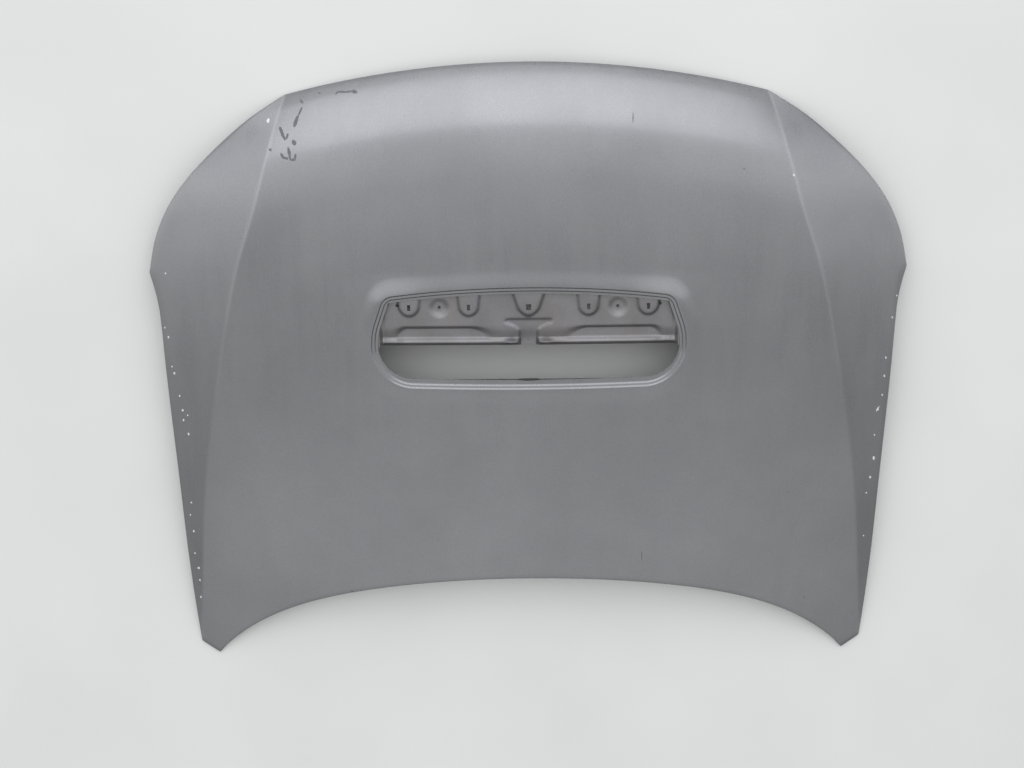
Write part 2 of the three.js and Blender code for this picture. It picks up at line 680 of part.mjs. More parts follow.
function shelfDepth(x, y) {
  const reach = Math.abs(x);
  const lipY = SCOOP_FRONT_Y + SCOOP_FRONT_BOW - LIP_FRONT;
  const recess = ramp(lipY - y, 0, PAD_WALL) * ramp(DUCT_HALF - PAD_WALL / 2 - reach, 0, PAD_WALL);
  const padShare = Math.max(...PAD_CENTRES.map((centre) => (
    1 - ramp(Math.abs(x - centre), PAD_HALF, PAD_HALF + PAD_WALL))));
  const pad = padShare * ramp(y, PAD_REAR - PAD_WALL, PAD_REAR);
  const toDimple = Math.hypot(reach - DIMPLE_X, y - DIMPLE_Y);
  const dimple = DIMPLE_DEPTH * (1 - ramp(toDimple, DIMPLE_RADIUS / 2, DIMPLE_RADIUS));
  const step = SHELF_STEP * ramp(SHELF_STEP_Y - y, 0, PAD_WALL);
  const gobletHalf = mix(GOBLET_CHANNEL, GOBLET_HALF, ramp(y, SHELF_STEP_Y - PAD_WALL, SHELF_STEP_Y));
  const inGoblet = 1 - ramp(reach, gobletHalf, gobletHalf + PAD_WALL);
  const goblet = GOBLET_DEPTH * inGoblet * ramp(PAD_REAR - PAD_WALL - y, 0, PAD_WALL);
  const bead = BEAD_RISE * ramp(y, BEAD_Y[0] - PAD_WALL, BEAD_Y[0])
    * ramp(BEAD_Y[1] + PAD_WALL - y, 0, PAD_WALL) * (1 - inGoblet);
  const shelf = recess * (SHELF_RECESS * (1 - pad) + dimple + step + goblet - bead);
  const outside = Math.max(
    ramp(reach, SHELF_HALF - SHELF_WALL, SHELF_HALF),
    ramp(y, SHELF_FRONT - SHELF_WALL, SHELF_FRONT),
    ramp(-y, -SHELF_REAR - SHELF_WALL, -SHELF_REAR),
  );
  return mix(DUCT_LAND + shelf, CHANNEL_DEPTH, outside);
}

function shelfHeight(x, y) {
  const aside = Math.max(Math.abs(x) - SCOOP_FRONT_HALF, y - SCOOP_FRONT_Y - SCOOP_FRONT_BOW);
  const rise = plinth(x, y) * (1 - ramp(aside, 0, PLINTH_FOOT));
  return surface(x, y) + rise - shelfDepth(x, y);
}

// Lines of the shelf's net, placed on its edges
function shelfLines() {
  const halfSlot = SLOT_WIDTH / 2;
  const pads = PAD_CENTRES.filter((centre) => centre > 0).flatMap((centre) => (
    [-PAD_HALF - PAD_WALL, -PAD_HALF, -halfSlot, halfSlot, PAD_HALF, PAD_HALF + PAD_WALL]
      .map((step) => centre + step)));
  const dimple = [-1, -0.5, 0.5, 1].map((step) => DIMPLE_X + step * DIMPLE_RADIUS);
  const half = [
    halfSlot, PAD_HALF, PAD_HALF + PAD_WALL, GOBLET_HALF, GOBLET_HALF + PAD_WALL, ...pads, ...dimple,
    DUCT_HALF - DUCT_CHAMFER, DUCT_HALF - 1.5 * PAD_WALL, DUCT_HALF,
    SHELF_HALF - SHELF_WALL, SHELF_HALF,
  ].sort((a, b) => a - b);
  const lipY = SCOOP_FRONT_Y + SCOOP_FRONT_BOW - LIP_FRONT;
  const down = [
    SHELF_FRONT, SHELF_FRONT - SHELF_WALL, lipY, lipY - PAD_WALL,
    SLOT_Y + SLOT_LENGTH / 2, SLOT_Y - SLOT_LENGTH / 2, PAD_REAR, PAD_REAR - PAD_WALL,
    PAD_REAR - 2 * PAD_WALL, SHELF_STEP_Y, SHELF_STEP_Y - PAD_WALL, BEAD_Y[1] + PAD_WALL,
    BEAD_Y[1], BEAD_Y[0], DUCT_FRONT, DUCT_REAR + DUCT_CHAMFER, DUCT_REAR,
    SHELF_REAR + SHELF_WALL, SHELF_REAR,
  ];
  return { across: [...half.map((x) => -x).reverse(), ...half], along: down.sort((a, b) => a - b) };
}

function shelf(sheet) {
  const { across, along } = shelfLines();
  const rows = along.map((y) => across.map((x) => {
    return sheet.at(new THREE.Vector3(x, y, shelfHeight(x, y)));
  }));
  const slotTop = SLOT_Y + SLOT_LENGTH / 2;
  const chamferX = DUCT_HALF - DUCT_CHAMFER;
  const chamferY = DUCT_REAR + DUCT_CHAMFER;
  for (let r = 0; r < along.length - 1; r += 1) {
    for (let c = 0; c < across.length - 1; c += 1) {
      const x = (across[c] + across[c + 1]) / 2;
      const y = (along[r] + along[r + 1]) / 2;
      const inSlot = Math.abs(y - SLOT_Y) < slotTop - SLOT_Y
        && PAD_CENTRES.some((centre) => Math.abs(x - centre) < SLOT_WIDTH / 2);
      const inDuct = y > DUCT_REAR && y < DUCT_FRONT && Math.abs(x) < DUCT_HALF;
      const isCorner = inDuct && y < chamferY && Math.abs(x) > chamferX;
      const corners = [rows[r][c], rows[r][c + 1], rows[r + 1][c + 1], rows[r + 1][c]];
      if (!inSlot && !inDuct) sheet.quad(...corners);
      if (isCorner) chamferCell(sheet, corners, across, c, x, chamferX);
    }
  }
  return borderOf(rows, 0, along.length - 1, 0, across.length - 1);
}

// Keeps the half of a corner cell that lies outside the chamfer, in cells along its diagonal
function chamferCell(sheet, [a, b, c, d], across, column, x, chamferX) {
  const spansCorner = Math.abs(Math.abs(across[x > 0 ? column : column + 1]) - chamferX) < SAME_POINT
    && Math.abs(Math.abs(across[x > 0 ? column + 1 : column]) - DUCT_HALF) < SAME_POINT;
  if (spansCorner && x > 0) sheet.tri(a, b, c);
  if (spansCorner && x < 0) sheet.tri(a, b, d);
}

function innerPanel() {
  const sheet = new Sheet();
  const addRing = (points) => points.map((point) => sheet.at(point));
  const flangeDepth = SKIN_T + HEM_GAP;
  const flangeEdge = addRing(outlineRing(() => FLANGE_SETBACK, flangeDepth));
  const flangeRoot = addRing(outlineRing(() => FLANGE_WIDTH, flangeDepth));
  sheet.band(flangeEdge, flangeRoot);

  const rows = PANEL_ROWS.map((row) => PANEL_COLUMNS.map((line) => {
    const plan = panelPlan(line.at, row);
    const pad = padUnder(line, row);
    const low = row.low || line.low;
    const depth = low ? channelDepth(plan) : LAND_DEPTH;
    const point = sheet.at(pad ? pad.drop(plan) : below(plan.x, plan.y, depth));
    if (pad) sheet.pads.set(point, pad.up);
    return point;
  }));
  const r0 = rowFromFront(SCOOP_BOTTOM);
  const r1 = rowFromFront(SCOOP_TOP);
  const centre = HALF_COLUMNS.length - 1;
  const c0 = centre - SCOOP_BLOCK;
  const c1 = centre + SCOOP_BLOCK;
  const columnOpens = (c) => PANEL_COLUMNS[c < centre ? c : c + 1].opens;
  sheet.grid(rows, (r, c) => {
    const inBlock = r >= r0 && r < r1 && c >= c0 && c < c1;
    return inBlock || (columnOpens(c) && PANEL_ROWS[r].opens);
  });
  sheet.stitch(flangeRoot, borderOf(rows, 0, rows.length - 1, 0, PANEL_COLUMNS.length - 1));
  sheet.stitch(borderOf(rows, r0, r1, c0, c1), shelf(sheet));
  return sheet.solid(INNER_T);
}

// Solids joined and cut
const wasm = await Module();
wasm.setup();

function toSolid(geometry) {
  const bare = geometry.clone();
  bare.deleteAttribute('normal');
  bare.deleteAttribute('uv');
  const merged = mergeVertices(bare, 1e-4);
  return new wasm.Manifold(new wasm.Mesh({
    numProp: 3,
    vertProperties: new Float32Array(merged.attributes.position.array),
    triVerts: new Uint32Array(merged.index.array),
  }));
}

function toGeometry(solid) {
  const { vertProperties, triVerts } = solid.getMesh();
  const geometry = new THREE.BufferGeometry();
  geometry.setAttribute('position', new THREE.BufferAttribute(vertProperties, 3));
  geometry.setIndex(new THREE.BufferAttribute(triVerts, 1));
  return geometry;
}

// Frame that stands a piece on a pad, its own +Z along the pad's normal
function seatOn({ centre, up }) {
  const ahead = new THREE.Vector3(0, 1, 0);
  ahead.addScaledVector(up, -ahead.dot(up)).normalize();
  const across = new THREE.Vector3().crossVectors(ahead, up);
  return new THREE.Matrix4().makeBasis(across, ahead, up).setPosition(centre);
}

function drill(geometry, seat, places, diameter) {
  let solid = toSolid(geometry);
  places.forEach(([x, y]) => {
    const bore = new THREE.CylinderGeometry(diameter / 2, diameter / 2, DRILL_LENGTH, 16);
    bore.rotateX(Math.PI / 2).translate(x, y, 0).applyMatrix4(seatOn(seat));
    solid = solid.subtract(toSolid(bore));
  });
  return toGeometry(solid);
}

const HINGE_BOLTS = [-1, 1].map((end) => [0, (end * HINGE_BOLT_SPACING) / 2]);
const STRIKER_BOLTS = [-1, 1].map((end) => [(end * STRIKER_BOLT_SPACING) / 2, 0]);

function drilledPanel() {
  let panel = innerPanel();
  Object.values(HINGE_PADS).forEach((pad) => {
    panel = drill(panel, pad, HINGE_BOLTS, HINGE_BOLT + 2 * HOLE_CLEARANCE);
  });
  panel = drill(panel, STRIKER_SEAT, STRIKER_BOLTS, STRIKER_BOLT + 2 * HOLE_CLEARANCE);
  const dimples = [-1, 1].map((side) => {
    const x = side * DIMPLE_X;
    const depth = surface(x, DIMPLE_Y) - shelfHeight(x, DIMPLE_Y);
    return flatPad({ x, y: DIMPLE_Y }, new THREE.Vector3(0, 0, 1), depth);
  });
  dimples.forEach((seat) => {
    panel = drill(panel, seat, [[0, 0]], 2 * DIMPLE_HOLE);
  });
  return panel;
}

// Flat plate with round holes, lying on z = 0 of its own frame
function plate([width, length, thickness], holes, holeDiameter, cornerRadius = 5, segments = 3) {
  const w = width / 2;
  const l = length / 2;
  const r = cornerRadius;
  const shape = new THREE.Shape();
  shape.moveTo(r - w, -l);
  shape.lineTo(w - r, -l);
  shape.absarc(w - r, r - l, r, -Math.PI / 2, 0);
  shape.lineTo(w, l - r);
  shape.absarc(w - r, l - r, r, 0, Math.PI / 2);
  shape.lineTo(r - w, l);
  shape.absarc(r - w, l - r, r, Math.PI / 2, Math.PI);
  shape.lineTo(-w, r - l);
  shape.absarc(r - w, r - l, r, Math.PI, 1.5 * Math.PI);
  holes.forEach(([x, y]) => {
    const hole = new THREE.Path();
    hole.absarc(x, y, holeDiameter / 2, 0, 2 * Math.PI, true);
    shape.holes.push(hole);
  });
  return new THREE.ExtrudeGeometry(shape, { depth: thickness, bevelEnabled: false, curveSegments: segments });
}

function hexagon(flats) {
  const shape = new THREE.Shape();
  const radius = flats / Math.sqrt(3);
  for (let k = 0; k < 6; k += 1) {
    const angle = (k * Math.PI) / 3;
    const corner = [radius * Math.cos(angle), radius * Math.sin(angle)];
    if (k === 0) shape.moveTo(...corner);
    else shape.lineTo(...corner);
  }
  return shape;
}

function nut(flats, bore, height) {
  const shape = hexagon(flats);
  const hole = new THREE.Path();
  hole.absarc(0, 0, bore / 2, 0, 2 * Math.PI, true);
  shape.holes.push(hole);
  return new THREE.ExtrudeGeometry(shape, { depth: height, bevelEnabled: false, curveSegments: 8 });
}

// Bolt with its head below z = 0 and its shank above
function bolt([flats, headHeight], diameter, length) {
  const head = new THREE.ExtrudeGeometry(hexagon(flats), { depth: headHeight, bevelEnabled: false });
  head.translate(0, 0, -headHeight);
  const shank = new THREE.CylinderGeometry(diameter / 2, diameter / 2, length + SHANK_ROOT, 12);
  shank.rotateX(Math.PI / 2).translate(0, 0, (length - SHANK_ROOT) / 2);
  return toGeometry(toSolid(head).add(toSolid(shank)));
}

// Round bar bent to a U that hangs from z = 0
function strikerLoop() {
  const half = STRIKER_LEGS / 2;
  const path = new THREE.CurvePath();
  const foot = STRIKER_DROP - STRIKER_ROD / 2;
  const bend = half;
  path.add(new THREE.LineCurve3(new THREE.Vector3(-half, 0, 0), new THREE.Vector3(-half, 0, bend - foot)));
  const arc = Array.from({ length: 13 }, (_, k) => {
    const angle = Math.PI + (Math.PI * k) / 12;
    return new THREE.Vector3(half * Math.cos(angle), 0, bend - foot + half * Math.sin(angle));
  });
  path.add(new THREE.CatmullRomCurve3(arc));
  path.add(new THREE.LineCurve3(new THREE.Vector3(half, 0, bend - foot), new THREE.Vector3(half, 0, 0)));
  const section = new THREE.Shape();
  section.absarc(0, 0, STRIKER_ROD / 2, 0, 2 * Math.PI);
  return new THREE.ExtrudeGeometry(section, { steps: 22, extrudePath: path, curveSegments: 5 });
}

// Mastic bead with round ends, lying on z = 0
function masticBead(thickness) {
  return plate([MASTIC_WIDTH, MASTIC_LENGTH, thickness], [], 0, MASTIC_WIDTH / 2 - SAME_POINT, 2);
}

// Assembly
const bonnet = new THREE.Group();

function addPiece(name, geometry, finish, matrix = new THREE.Matrix4()) {
  const mesh = new THREE.Mesh(geometry, new THREE.MeshStandardMaterial(finish));
  mesh.name = name;
  mesh.applyMatrix4(matrix);
  bonnet.add(mesh);
}

const raised = (seat, x, y, z) => seatOn(seat).multiply(new THREE.Matrix4().makeTranslation(x, y, z));

addPiece('outer_skin', outerSkin(), PAINT);
addPiece('inner_panel', drilledPanel(), PAINT);

Object.entries(HINGE_PADS).forEach(([side, pad]) => {
  const bore = HINGE_BOLT + 2 * HOLE_CLEARANCE;
  addPiece(`hinge_reinforcement_${side}`, plate(HINGE_PLATE, HINGE_BOLTS, bore), PRIMER,
    raised(pad, 0, 0, SEAT_GAP));
  HINGE_BOLTS.forEach(([x, y]) => {
    const end = y < 0 ? 'rear' : 'front';
    const top = HINGE_PLATE[2] + 2 * SEAT_GAP;
    addPiece(`hinge_nut_${side}_${end}`, nut(NUT_FLATS, HINGE_BOLT, NUT_HEIGHT), ZINC,
      raised(pad, x, y, top));
  });
});

const strikerBore = STRIKER_BOLT + 2 * HOLE_CLEARANCE;
const backingTop = STRIKER_BACKING[2] + 2 * SEAT_GAP;
const plateTop = -INNER_T - SEAT_GAP;
const plateUnder = plateTop - STRIKER_PLATE[2];
addPiece('striker_reinforcement', plate(STRIKER_BACKING, STRIKER_BOLTS, strikerBore), PRIMER,
  raised(STRIKER_SEAT, 0, 0, SEAT_GAP));
addPiece('striker_plate', plate(STRIKER_PLATE, STRIKER_BOLTS, strikerBore), ZINC,
  raised(STRIKER_SEAT, 0, 0, plateUnder));
addPiece('striker_loop', strikerLoop(), ZINC, raised(STRIKER_SEAT, 0, 0, plateUnder - SEAT_GAP));
STRIKER_BOLTS.forEach(([x, y]) => {
  const side = x < 0 ? 'left' : 'right';
  const headTop = plateUnder - SEAT_GAP;
  const reach = backingTop + STRIKER_NUT_HEIGHT - headTop + BOLT_END;
  const nutBore = STRIKER_BOLT + 2 * SEAT_GAP;
  addPiece(`striker_bolt_${side}`, bolt(STRIKER_BOLT_HEAD, STRIKER_BOLT, reach), ZINC,
    raised(STRIKER_SEAT, x, y, headTop));
  addPiece(`striker_nut_${side}`, nut(STRIKER_BOLT_HEAD[0], nutBore, STRIKER_NUT_HEIGHT), ZINC,
    raised(STRIKER_SEAT, x, y, backingTop));
});

// Mastic on the lands beside the bays, named by bay and side
const [FRONT_BAY_ROW, SIDE_BAY_ROW, REAR_BAY_ROW] = (
  BAY_MIDDLES.map((i) => PANEL_ROWS[rowFromFront(i)]));
const MASTIC_PLACES = [
  ['front_inner', LANDS[0], FRONT_BAY_ROW],
  ['front_middle', LANDS[2], FRONT_BAY_ROW],
  ['side_inner', LANDS[3], SIDE_BAY_ROW],
  ['side_outer', LANDS[4], SIDE_BAY_ROW],
  ['rear_inner', LANDS[0], REAR_BAY_ROW],
  ['rear_middle', LANDS[2], REAR_BAY_ROW],
];
MASTIC_PLACES.forEach(([place, at, row]) => {
  [['left', -1], ['right', 1]].forEach(([side, sign]) => {
    const plan = panelPlan(sign * at, row);
    const up = normal(plan.x, plan.y, PANEL_STEP);
    const seat = flatPad(plan, up, LAND_DEPTH / up.z);
    const thickness = LAND_DEPTH - SKIN_T - SEAT_GAP - MASTIC_GAP;
    addPiece(`mastic_${place}_${side}`, masticBead(thickness), MASTIC, raised(seat, 0, 0, SEAT_GAP));
  });
});

// The part stands on the floor with its origin under the middle of its bounding box
bonnet.updateMatrixWorld(true);
const box = new THREE.Box3().setFromObject(bonnet, true);
const middle = box.getCenter(new THREE.Vector3());
bonnet.position.set(-middle.x, -middle.y, -box.min.z);

export default bonnet;
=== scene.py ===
import math
import random

import bpy
import numpy as np
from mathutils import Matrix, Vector


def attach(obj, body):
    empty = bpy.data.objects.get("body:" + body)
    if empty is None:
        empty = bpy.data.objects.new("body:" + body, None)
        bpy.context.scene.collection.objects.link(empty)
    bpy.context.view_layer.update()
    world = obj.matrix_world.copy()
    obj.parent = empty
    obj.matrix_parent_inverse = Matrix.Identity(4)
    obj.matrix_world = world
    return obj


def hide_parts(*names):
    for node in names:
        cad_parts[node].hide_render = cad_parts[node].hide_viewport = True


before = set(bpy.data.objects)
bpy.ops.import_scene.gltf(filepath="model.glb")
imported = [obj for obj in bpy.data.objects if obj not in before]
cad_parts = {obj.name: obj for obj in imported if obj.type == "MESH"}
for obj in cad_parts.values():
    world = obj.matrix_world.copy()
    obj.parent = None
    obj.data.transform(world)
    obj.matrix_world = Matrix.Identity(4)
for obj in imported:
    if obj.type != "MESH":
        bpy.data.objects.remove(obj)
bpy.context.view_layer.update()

# Car bonnet lying outer side up, nose towards +Y. Shapes are worked out in millimetres and
# turned to metres when a mesh is made.
mm = 0.001
originShift = np.array([0.0, 0.4405, 4.8697])  # the part's origin lies on the floor under its middle
bpy.ops.object.select_all(action="DESELECT")
random.seed(7)


def mix(a, b, t):
    return a + (b - a) * t


def ramp(value, low, high):
    return np.clip((value - low) / (high - low), 0, 1)


def softRamp(value, low, high):
    t = ramp(value, low, high)
    return t * t * (3 - 2 * t)


def curveThrough(points):  # smooth x(y) through a few points, as a draughtsman's spline
    xs, ys = np.array([p[0] for p in points], float), np.array([p[1] for p in points], float)
    before = np.clip(np.arange(len(xs)) - 1, 0, None)
    after = np.clip(np.arange(len(xs)) + 1, None, len(xs) - 1)
    slopes = (xs[after] - xs[before]) / (ys[after] - ys[before])

    def at(y):
        i = np.clip(np.searchsorted(ys, y, side="left") - 1, 0, len(xs) - 2)
        span = ys[i + 1] - ys[i]
        t = np.clip((y - ys[i]) / span, 0, 1)
        rise = t * t * (3 - 2 * t)
        leave = span * slopes[i] * t * (1 - t) ** 2
        arrive = span * slopes[i + 1] * t * t * (1 - t)
        return mix(xs[i], xs[i + 1], rise) + leave - arrive
    return at


# Outline and crown of the bonnet, which both sheets follow
bonnet = {
    "frontY": 596, "frontRadius": 1900, "cornerX": 460, "rearY": -411,
    "archReference": 600, "archRound": 87, "archSteep": 48,
    "earNotchX": 636, "earTip": (651, -595), "earOuter": (685, -570), "widest": (731, 207),
    "lengthRadius": 4600, "crownRadius": 5000, "apexY": 165,
    "noseLength": 215, "noseDrop": 78, "nosePower": 2.6, "creaseBreak": 0.16,
    "noseFade": (0, 16), "earFade": (10, 150),
    "skin": 1.0, "inner": 0.9, "hemGap": 0.9, "hemReturn": 9, "earReturn": 4,
    "returnBlend": (10, 60), "edgeStep": 1.5,
}


def frontEdge(x):
    return bonnet["frontY"] - bonnet["frontRadius"] + np.sqrt(bonnet["frontRadius"] ** 2 - x ** 2)


corner = (bonnet["cornerX"], float(frontEdge(bonnet["cornerX"])))
crease = curveThrough([bonnet["earOuter"], (669, -400), (643, -200), (604, 0), (558, 200),
                       (509, 346), corner])
sideEdge = curveThrough([bonnet["earOuter"], (694, -400), (700, -200), (709, 0), (714.5, 128),
                         (720, 165), bonnet["widest"]])
lampEdge = curveThrough([bonnet["widest"], (715, 272), (687, 330), (644, 386), (588, 442),
                         (524, 497), corner])


def flank(y):
    return np.where(y <= bonnet["widest"][1], sideEdge(y), lampEdge(y))


def archEdge(x):
    share = np.abs(x) / bonnet["archReference"]
    return bonnet["rearY"] - bonnet["archRound"] * share ** 2 - bonnet["archSteep"] * share ** 6


def rearEdge(x):
    reach = np.abs(x)
    tip, outer, notch = bonnet["earTip"], bonnet["earOuter"], bonnet["earNotchX"]
    toTip = mix(archEdge(notch), tip[1], ramp(reach, notch, tip[0]))
    toOuter = mix(tip[1], outer[1], ramp(reach, tip[0], outer[0]))
    return np.where(reach <= notch, archEdge(reach), np.where(reach <= tip[0], toTip, toOuter))


def crown(x, y):
    b = bonnet
    reach = np.abs(x)
    onCrease = crease(y)
    inside = np.minimum(reach, onCrease)
    lengthways = (y - b["apexY"]) ** 2 / (2 * b["lengthRadius"])
    across = inside ** 2 / (2 * b["crownRadius"])
    intoNose = np.maximum(0, y - frontEdge(inside) + b["noseLength"])  # the roll ends at the crease
    nose = b["noseDrop"] * (intoNose / b["noseLength"]) ** b["nosePower"]
    fade = np.minimum(ramp(corner[1] - y, *b["noseFade"]), ramp(y - b["earOuter"][1], *b["earFade"]))
    sideSlope = onCrease / b["crownRadius"] + b["creaseBreak"] * fade
    return -lengthways - across - nose - (reach - inside) * sideSlope


def level(point):
    return float(crown(np.array(float(point[0])), np.array(float(point[1]))))


pitch = (level(corner) - level(bonnet["earTip"])) / (corner[1] - bonnet["earTip"][1])


def surface(x, y):
    return crown(x, y) - level(corner) - pitch * (y - corner[1])


def upward(x, y, step=20.0):
    dx = (surface(x + step, y) - surface(x - step, y)) / (2 * step)
    dy = (surface(x, y + step) - surface(x, y - step)) / (2 * step)
    up = np.stack([-dx, -dy, np.ones_like(dx)], -1)
    return up / np.linalg.norm(up, axis=-1, keepdims=True)


def below(plan, depth, step=20.0):
    x, y = plan[..., 0], plan[..., 1]
    top = np.stack([x, y, surface(x, y)], -1)
    return top - upward(x, y, step) * np.asarray(depth)[..., None]


# A sheet is gathered as points and faces, then given its thickness
class Sheet:
    def __init__(self):
        self.points, self.faces = [], []

    def add(self, points):
        start = len(self.points)
        self.points.extend(np.asarray(points).reshape(-1, 3).tolist())
        return np.arange(start, len(self.points)).reshape(np.asarray(points).shape[:-1])

    def grid(self, ids, isOpen):
        for r in range(ids.shape[0] - 1):
            for c in range(ids.shape[1] - 1):
                if not isOpen[r, c]:
                    self.face(ids[r, c], ids[r, c + 1], ids[r + 1, c + 1], ids[r + 1, c])

    def face(self, *ids):
        kept = [int(i) for k, i in enumerate(ids) if i != ids[k - 1]]
        if len(kept) > 2:
            self.faces.append(kept)

    def band(self, outer, inner):
        for i in range(len(outer)):
            j = (i + 1) % len(outer)
            self.face(outer[i], outer[j], inner[j], inner[i])

    def startLoop(self, loop):  # how far round each point is, seen from the loop's own middle
        plan = np.array([self.points[i][:2] for i in loop])
        middle, half = (plan.max(0) + plan.min(0)) / 2, np.ptp(plan, 0) / 2
        aside, ahead = ((plan - middle) / half).T
        turn = np.arctan2(ahead, aside)
        start = int(np.argmin(turn))
        turn = np.roll(turn, -start)
        return np.append(np.roll(loop, -start), loop[start]), np.append(turn, turn[0] + 2 * math.pi)

    def zipLines(self, outer, outerAt, inner, innerAt, isTurned=False):  # two lines of unlike count
        i = j = 0
        while i < len(outer) - 1 or j < len(inner) - 1:
            if j == len(inner) - 1 or (i < len(outer) - 1 and outerAt[i + 1] <= innerAt[j + 1]):
                corners = [outer[i], outer[i + 1], inner[j]]
                i += 1
            else:
                corners = [outer[i], inner[j + 1], inner[j]]
                j += 1
            self.face(*(corners[::-1] if isTurned else corners))

    def stitch(self, outer, inner):
        self.zipLines(*self.startLoop(outer), *self.startLoop(inner))

    def piece(self, name, thickness):
        mesh = bpy.data.meshes.new(name)
        used = sorted({i for face in self.faces for i in face})
        renumbered = {i: k for k, i in enumerate(used)}
        places = (np.array(self.points)[used] + originShift) * mm
        mesh.from_pydata(places.tolist(), [], [[renumbered[i] for i in face] for face in self.faces])
        made = bpy.data.objects.new(name, mesh)
        bpy.context.scene.collection.objects.link(made)
        wall = made.modifiers.new("wall", "SOLIDIFY")
        wall.thickness, wall.offset = thickness * mm, -1
        wall.use_even_offset = True
        wall.thickness_clamp = 0
        applyModifiers(made)
        return made


def pick(piece):
    bpy.ops.object.select_all(action="DESELECT")
    piece.select_set(True)
    bpy.context.view_layer.objects.active = piece


def applyModifiers(piece):
    pick(piece)
    for modifier in list(piece.modifiers):
        bpy.ops.object.modifier_apply(modifier=modifier.name)


def smooth(piece, angle):
    pick(piece)
    bpy.ops.object.shade_smooth_by_angle(angle=math.radians(angle))


def borderOf(ids, r0, r1, c0, c1):  # anticlockwise seen from above
    loop = [ids[r0, c] for c in range(c0, c1)] + [ids[r, c1] for r in range(r0, r1)]
    loop += [ids[r1, c] for c in range(c1, c0, -1)] + [ids[r, c0] for r in range(r1, r0, -1)]
    return np.array(loop)


def outwards(loop):
    along = np.roll(loop, -1, 0) - np.roll(loop, 1, 0)
    out = np.stack([along[:, 1], -along[:, 0]], -1)
    return out / np.linalg.norm(out, axis=1, keepdims=True)


def between(values, largest):  # keeps each value and adds evenly spaced ones between
    lines = [values[0]]
    for a, b in zip(values, values[1:]):
        count = max(1, math.ceil(abs(b - a) / largest - 1e-6))
        lines += [mix(a, b, k / count) for k in range(1, count + 1)]
    return np.array(lines)


# Scoop opening: rim, stepped recess and the soft rise round it
scoop = {
    "frontY": 164, "frontBow": 17, "rearY": -9, "rearBow": 6,
    "frontHalf": 274, "side": (299, 95), "rearHalf": 302,
    "frontRound": 22, "sideRound": 120, "rearRound": 78,
    "stepDrop": 2.5, "stepWidth": 3.0, "stepMiddles": (0.6, 6.9),
    "lipFront": 12, "lipSide": 12.5, "lipRear": 17.5,
    "rise": 1.5, "peak": 5.5, "spread": 60, "foot": 35,
    "centreDip": 2.0, "centreDipHalf": 34,   # the rear lip is narrower at its middle
    "reliefAt": 0.62, "reliefHalf": 5, "reliefDepth": 2.5,   # notch in the lip at each front corner
    "ringsOutside": (30, 25, 20, 15, 11, 7.5, 4.5, 2.5, 1.3), "ringsInStep": 8,
    "points": 600,
}


def roundedCorner(before, here, after, radius, steps=40):
    back = (before - here) / np.linalg.norm(before - here)
    ahead = (after - here) / np.linalg.norm(after - here)
    half = math.acos(float(np.clip(back @ ahead, -1, 1))) / 2
    middle = (back + ahead) / np.linalg.norm(back + ahead)
    centre = here + middle * radius / math.sin(half)
    start = here + back * radius / math.tan(half) - centre
    turns = np.linspace(0, math.pi - 2 * half, steps + 1)
    c, s = np.cos(turns), np.sin(turns)
    return centre + np.stack([start[0] * c - start[1] * s, start[0] * s + start[1] * c], -1)


def scoopRim():
    s = scoop
    rear, side, front = (s["rearHalf"], s["rearY"]), s["side"], (s["frontHalf"], s["frontY"])
    right = [(rear, s["rearRound"]), (side, s["sideRound"]), (front, s["frontRound"])]
    left = [((-place[0], place[1]), radius) for place, radius in right[::-1]]
    places = [left[-1]] + right + left[:-1]
    at = [np.array(p, float) for p, _ in places]
    count = len(at)
    loop = np.concatenate([roundedCorner(at[k - 1], at[k], at[(k + 1) % count], places[k][1])
                           for k in range(count)])
    closed = np.vstack([loop, loop[:1]])
    run = np.concatenate([[0], np.cumsum(np.linalg.norm(np.diff(closed, axis=0), axis=1))])
    where = np.linspace(0, run[-1], s["points"], endpoint=False)
    rim = np.stack([np.interp(where, run, closed[:, 0]), np.interp(where, run, closed[:, 1])], -1)
    middle = (s["frontY"] + s["rearY"]) / 2
    frontBow = s["frontBow"] * np.maximum(0, 1 - (rim[:, 0] / s["frontHalf"]) ** 2)
    rearBow = s["rearBow"] * np.maximum(0, 1 - (rim[:, 0] / s["rearHalf"]) ** 2)
    share = np.minimum(1, np.abs(rim[:, 1] - middle) / (s["frontY"] - middle))
    rim[:, 1] += np.where(rim[:, 1] > middle, frontBow, -rearBow) * share
    return rim


def plinth(x, y):
    aside = (np.abs(x) - scoop["frontHalf"]) / scoop["spread"]
    ahead = (y - scoop["frontY"]) / scoop["spread"]
    return scoop["rise"] + scoop["peak"] * np.exp(-(aside * aside + ahead * ahead))


# Lines of the skin's net: rows in mm or in shares of the length, columns in shares of the crease
skinRows = {
    "pitch": 8.5, "columnPitch": 0.0135, "flankColumns": 16, "nearCrease": (0.968, 0.98, 0.988, 0.994),
    "rearCrease": 28, "rearShare": 0.07, "frontShare": 0.76,
    "aroundScoop": {"rear": 15, "front": 19, "side": 3},
    "nose": [-185, -145, -110, -80, -55, -35, -20, -8, 0],
    "noseSetback": 0.6, "setbackFade": (0.5, 0.95),  # room for the fold
}
foldSteps = 7
foldRadius = bonnet["skin"] + bonnet["hemGap"] + bonnet["inner"] / 2
foldReach = 0.95 * foldRadius


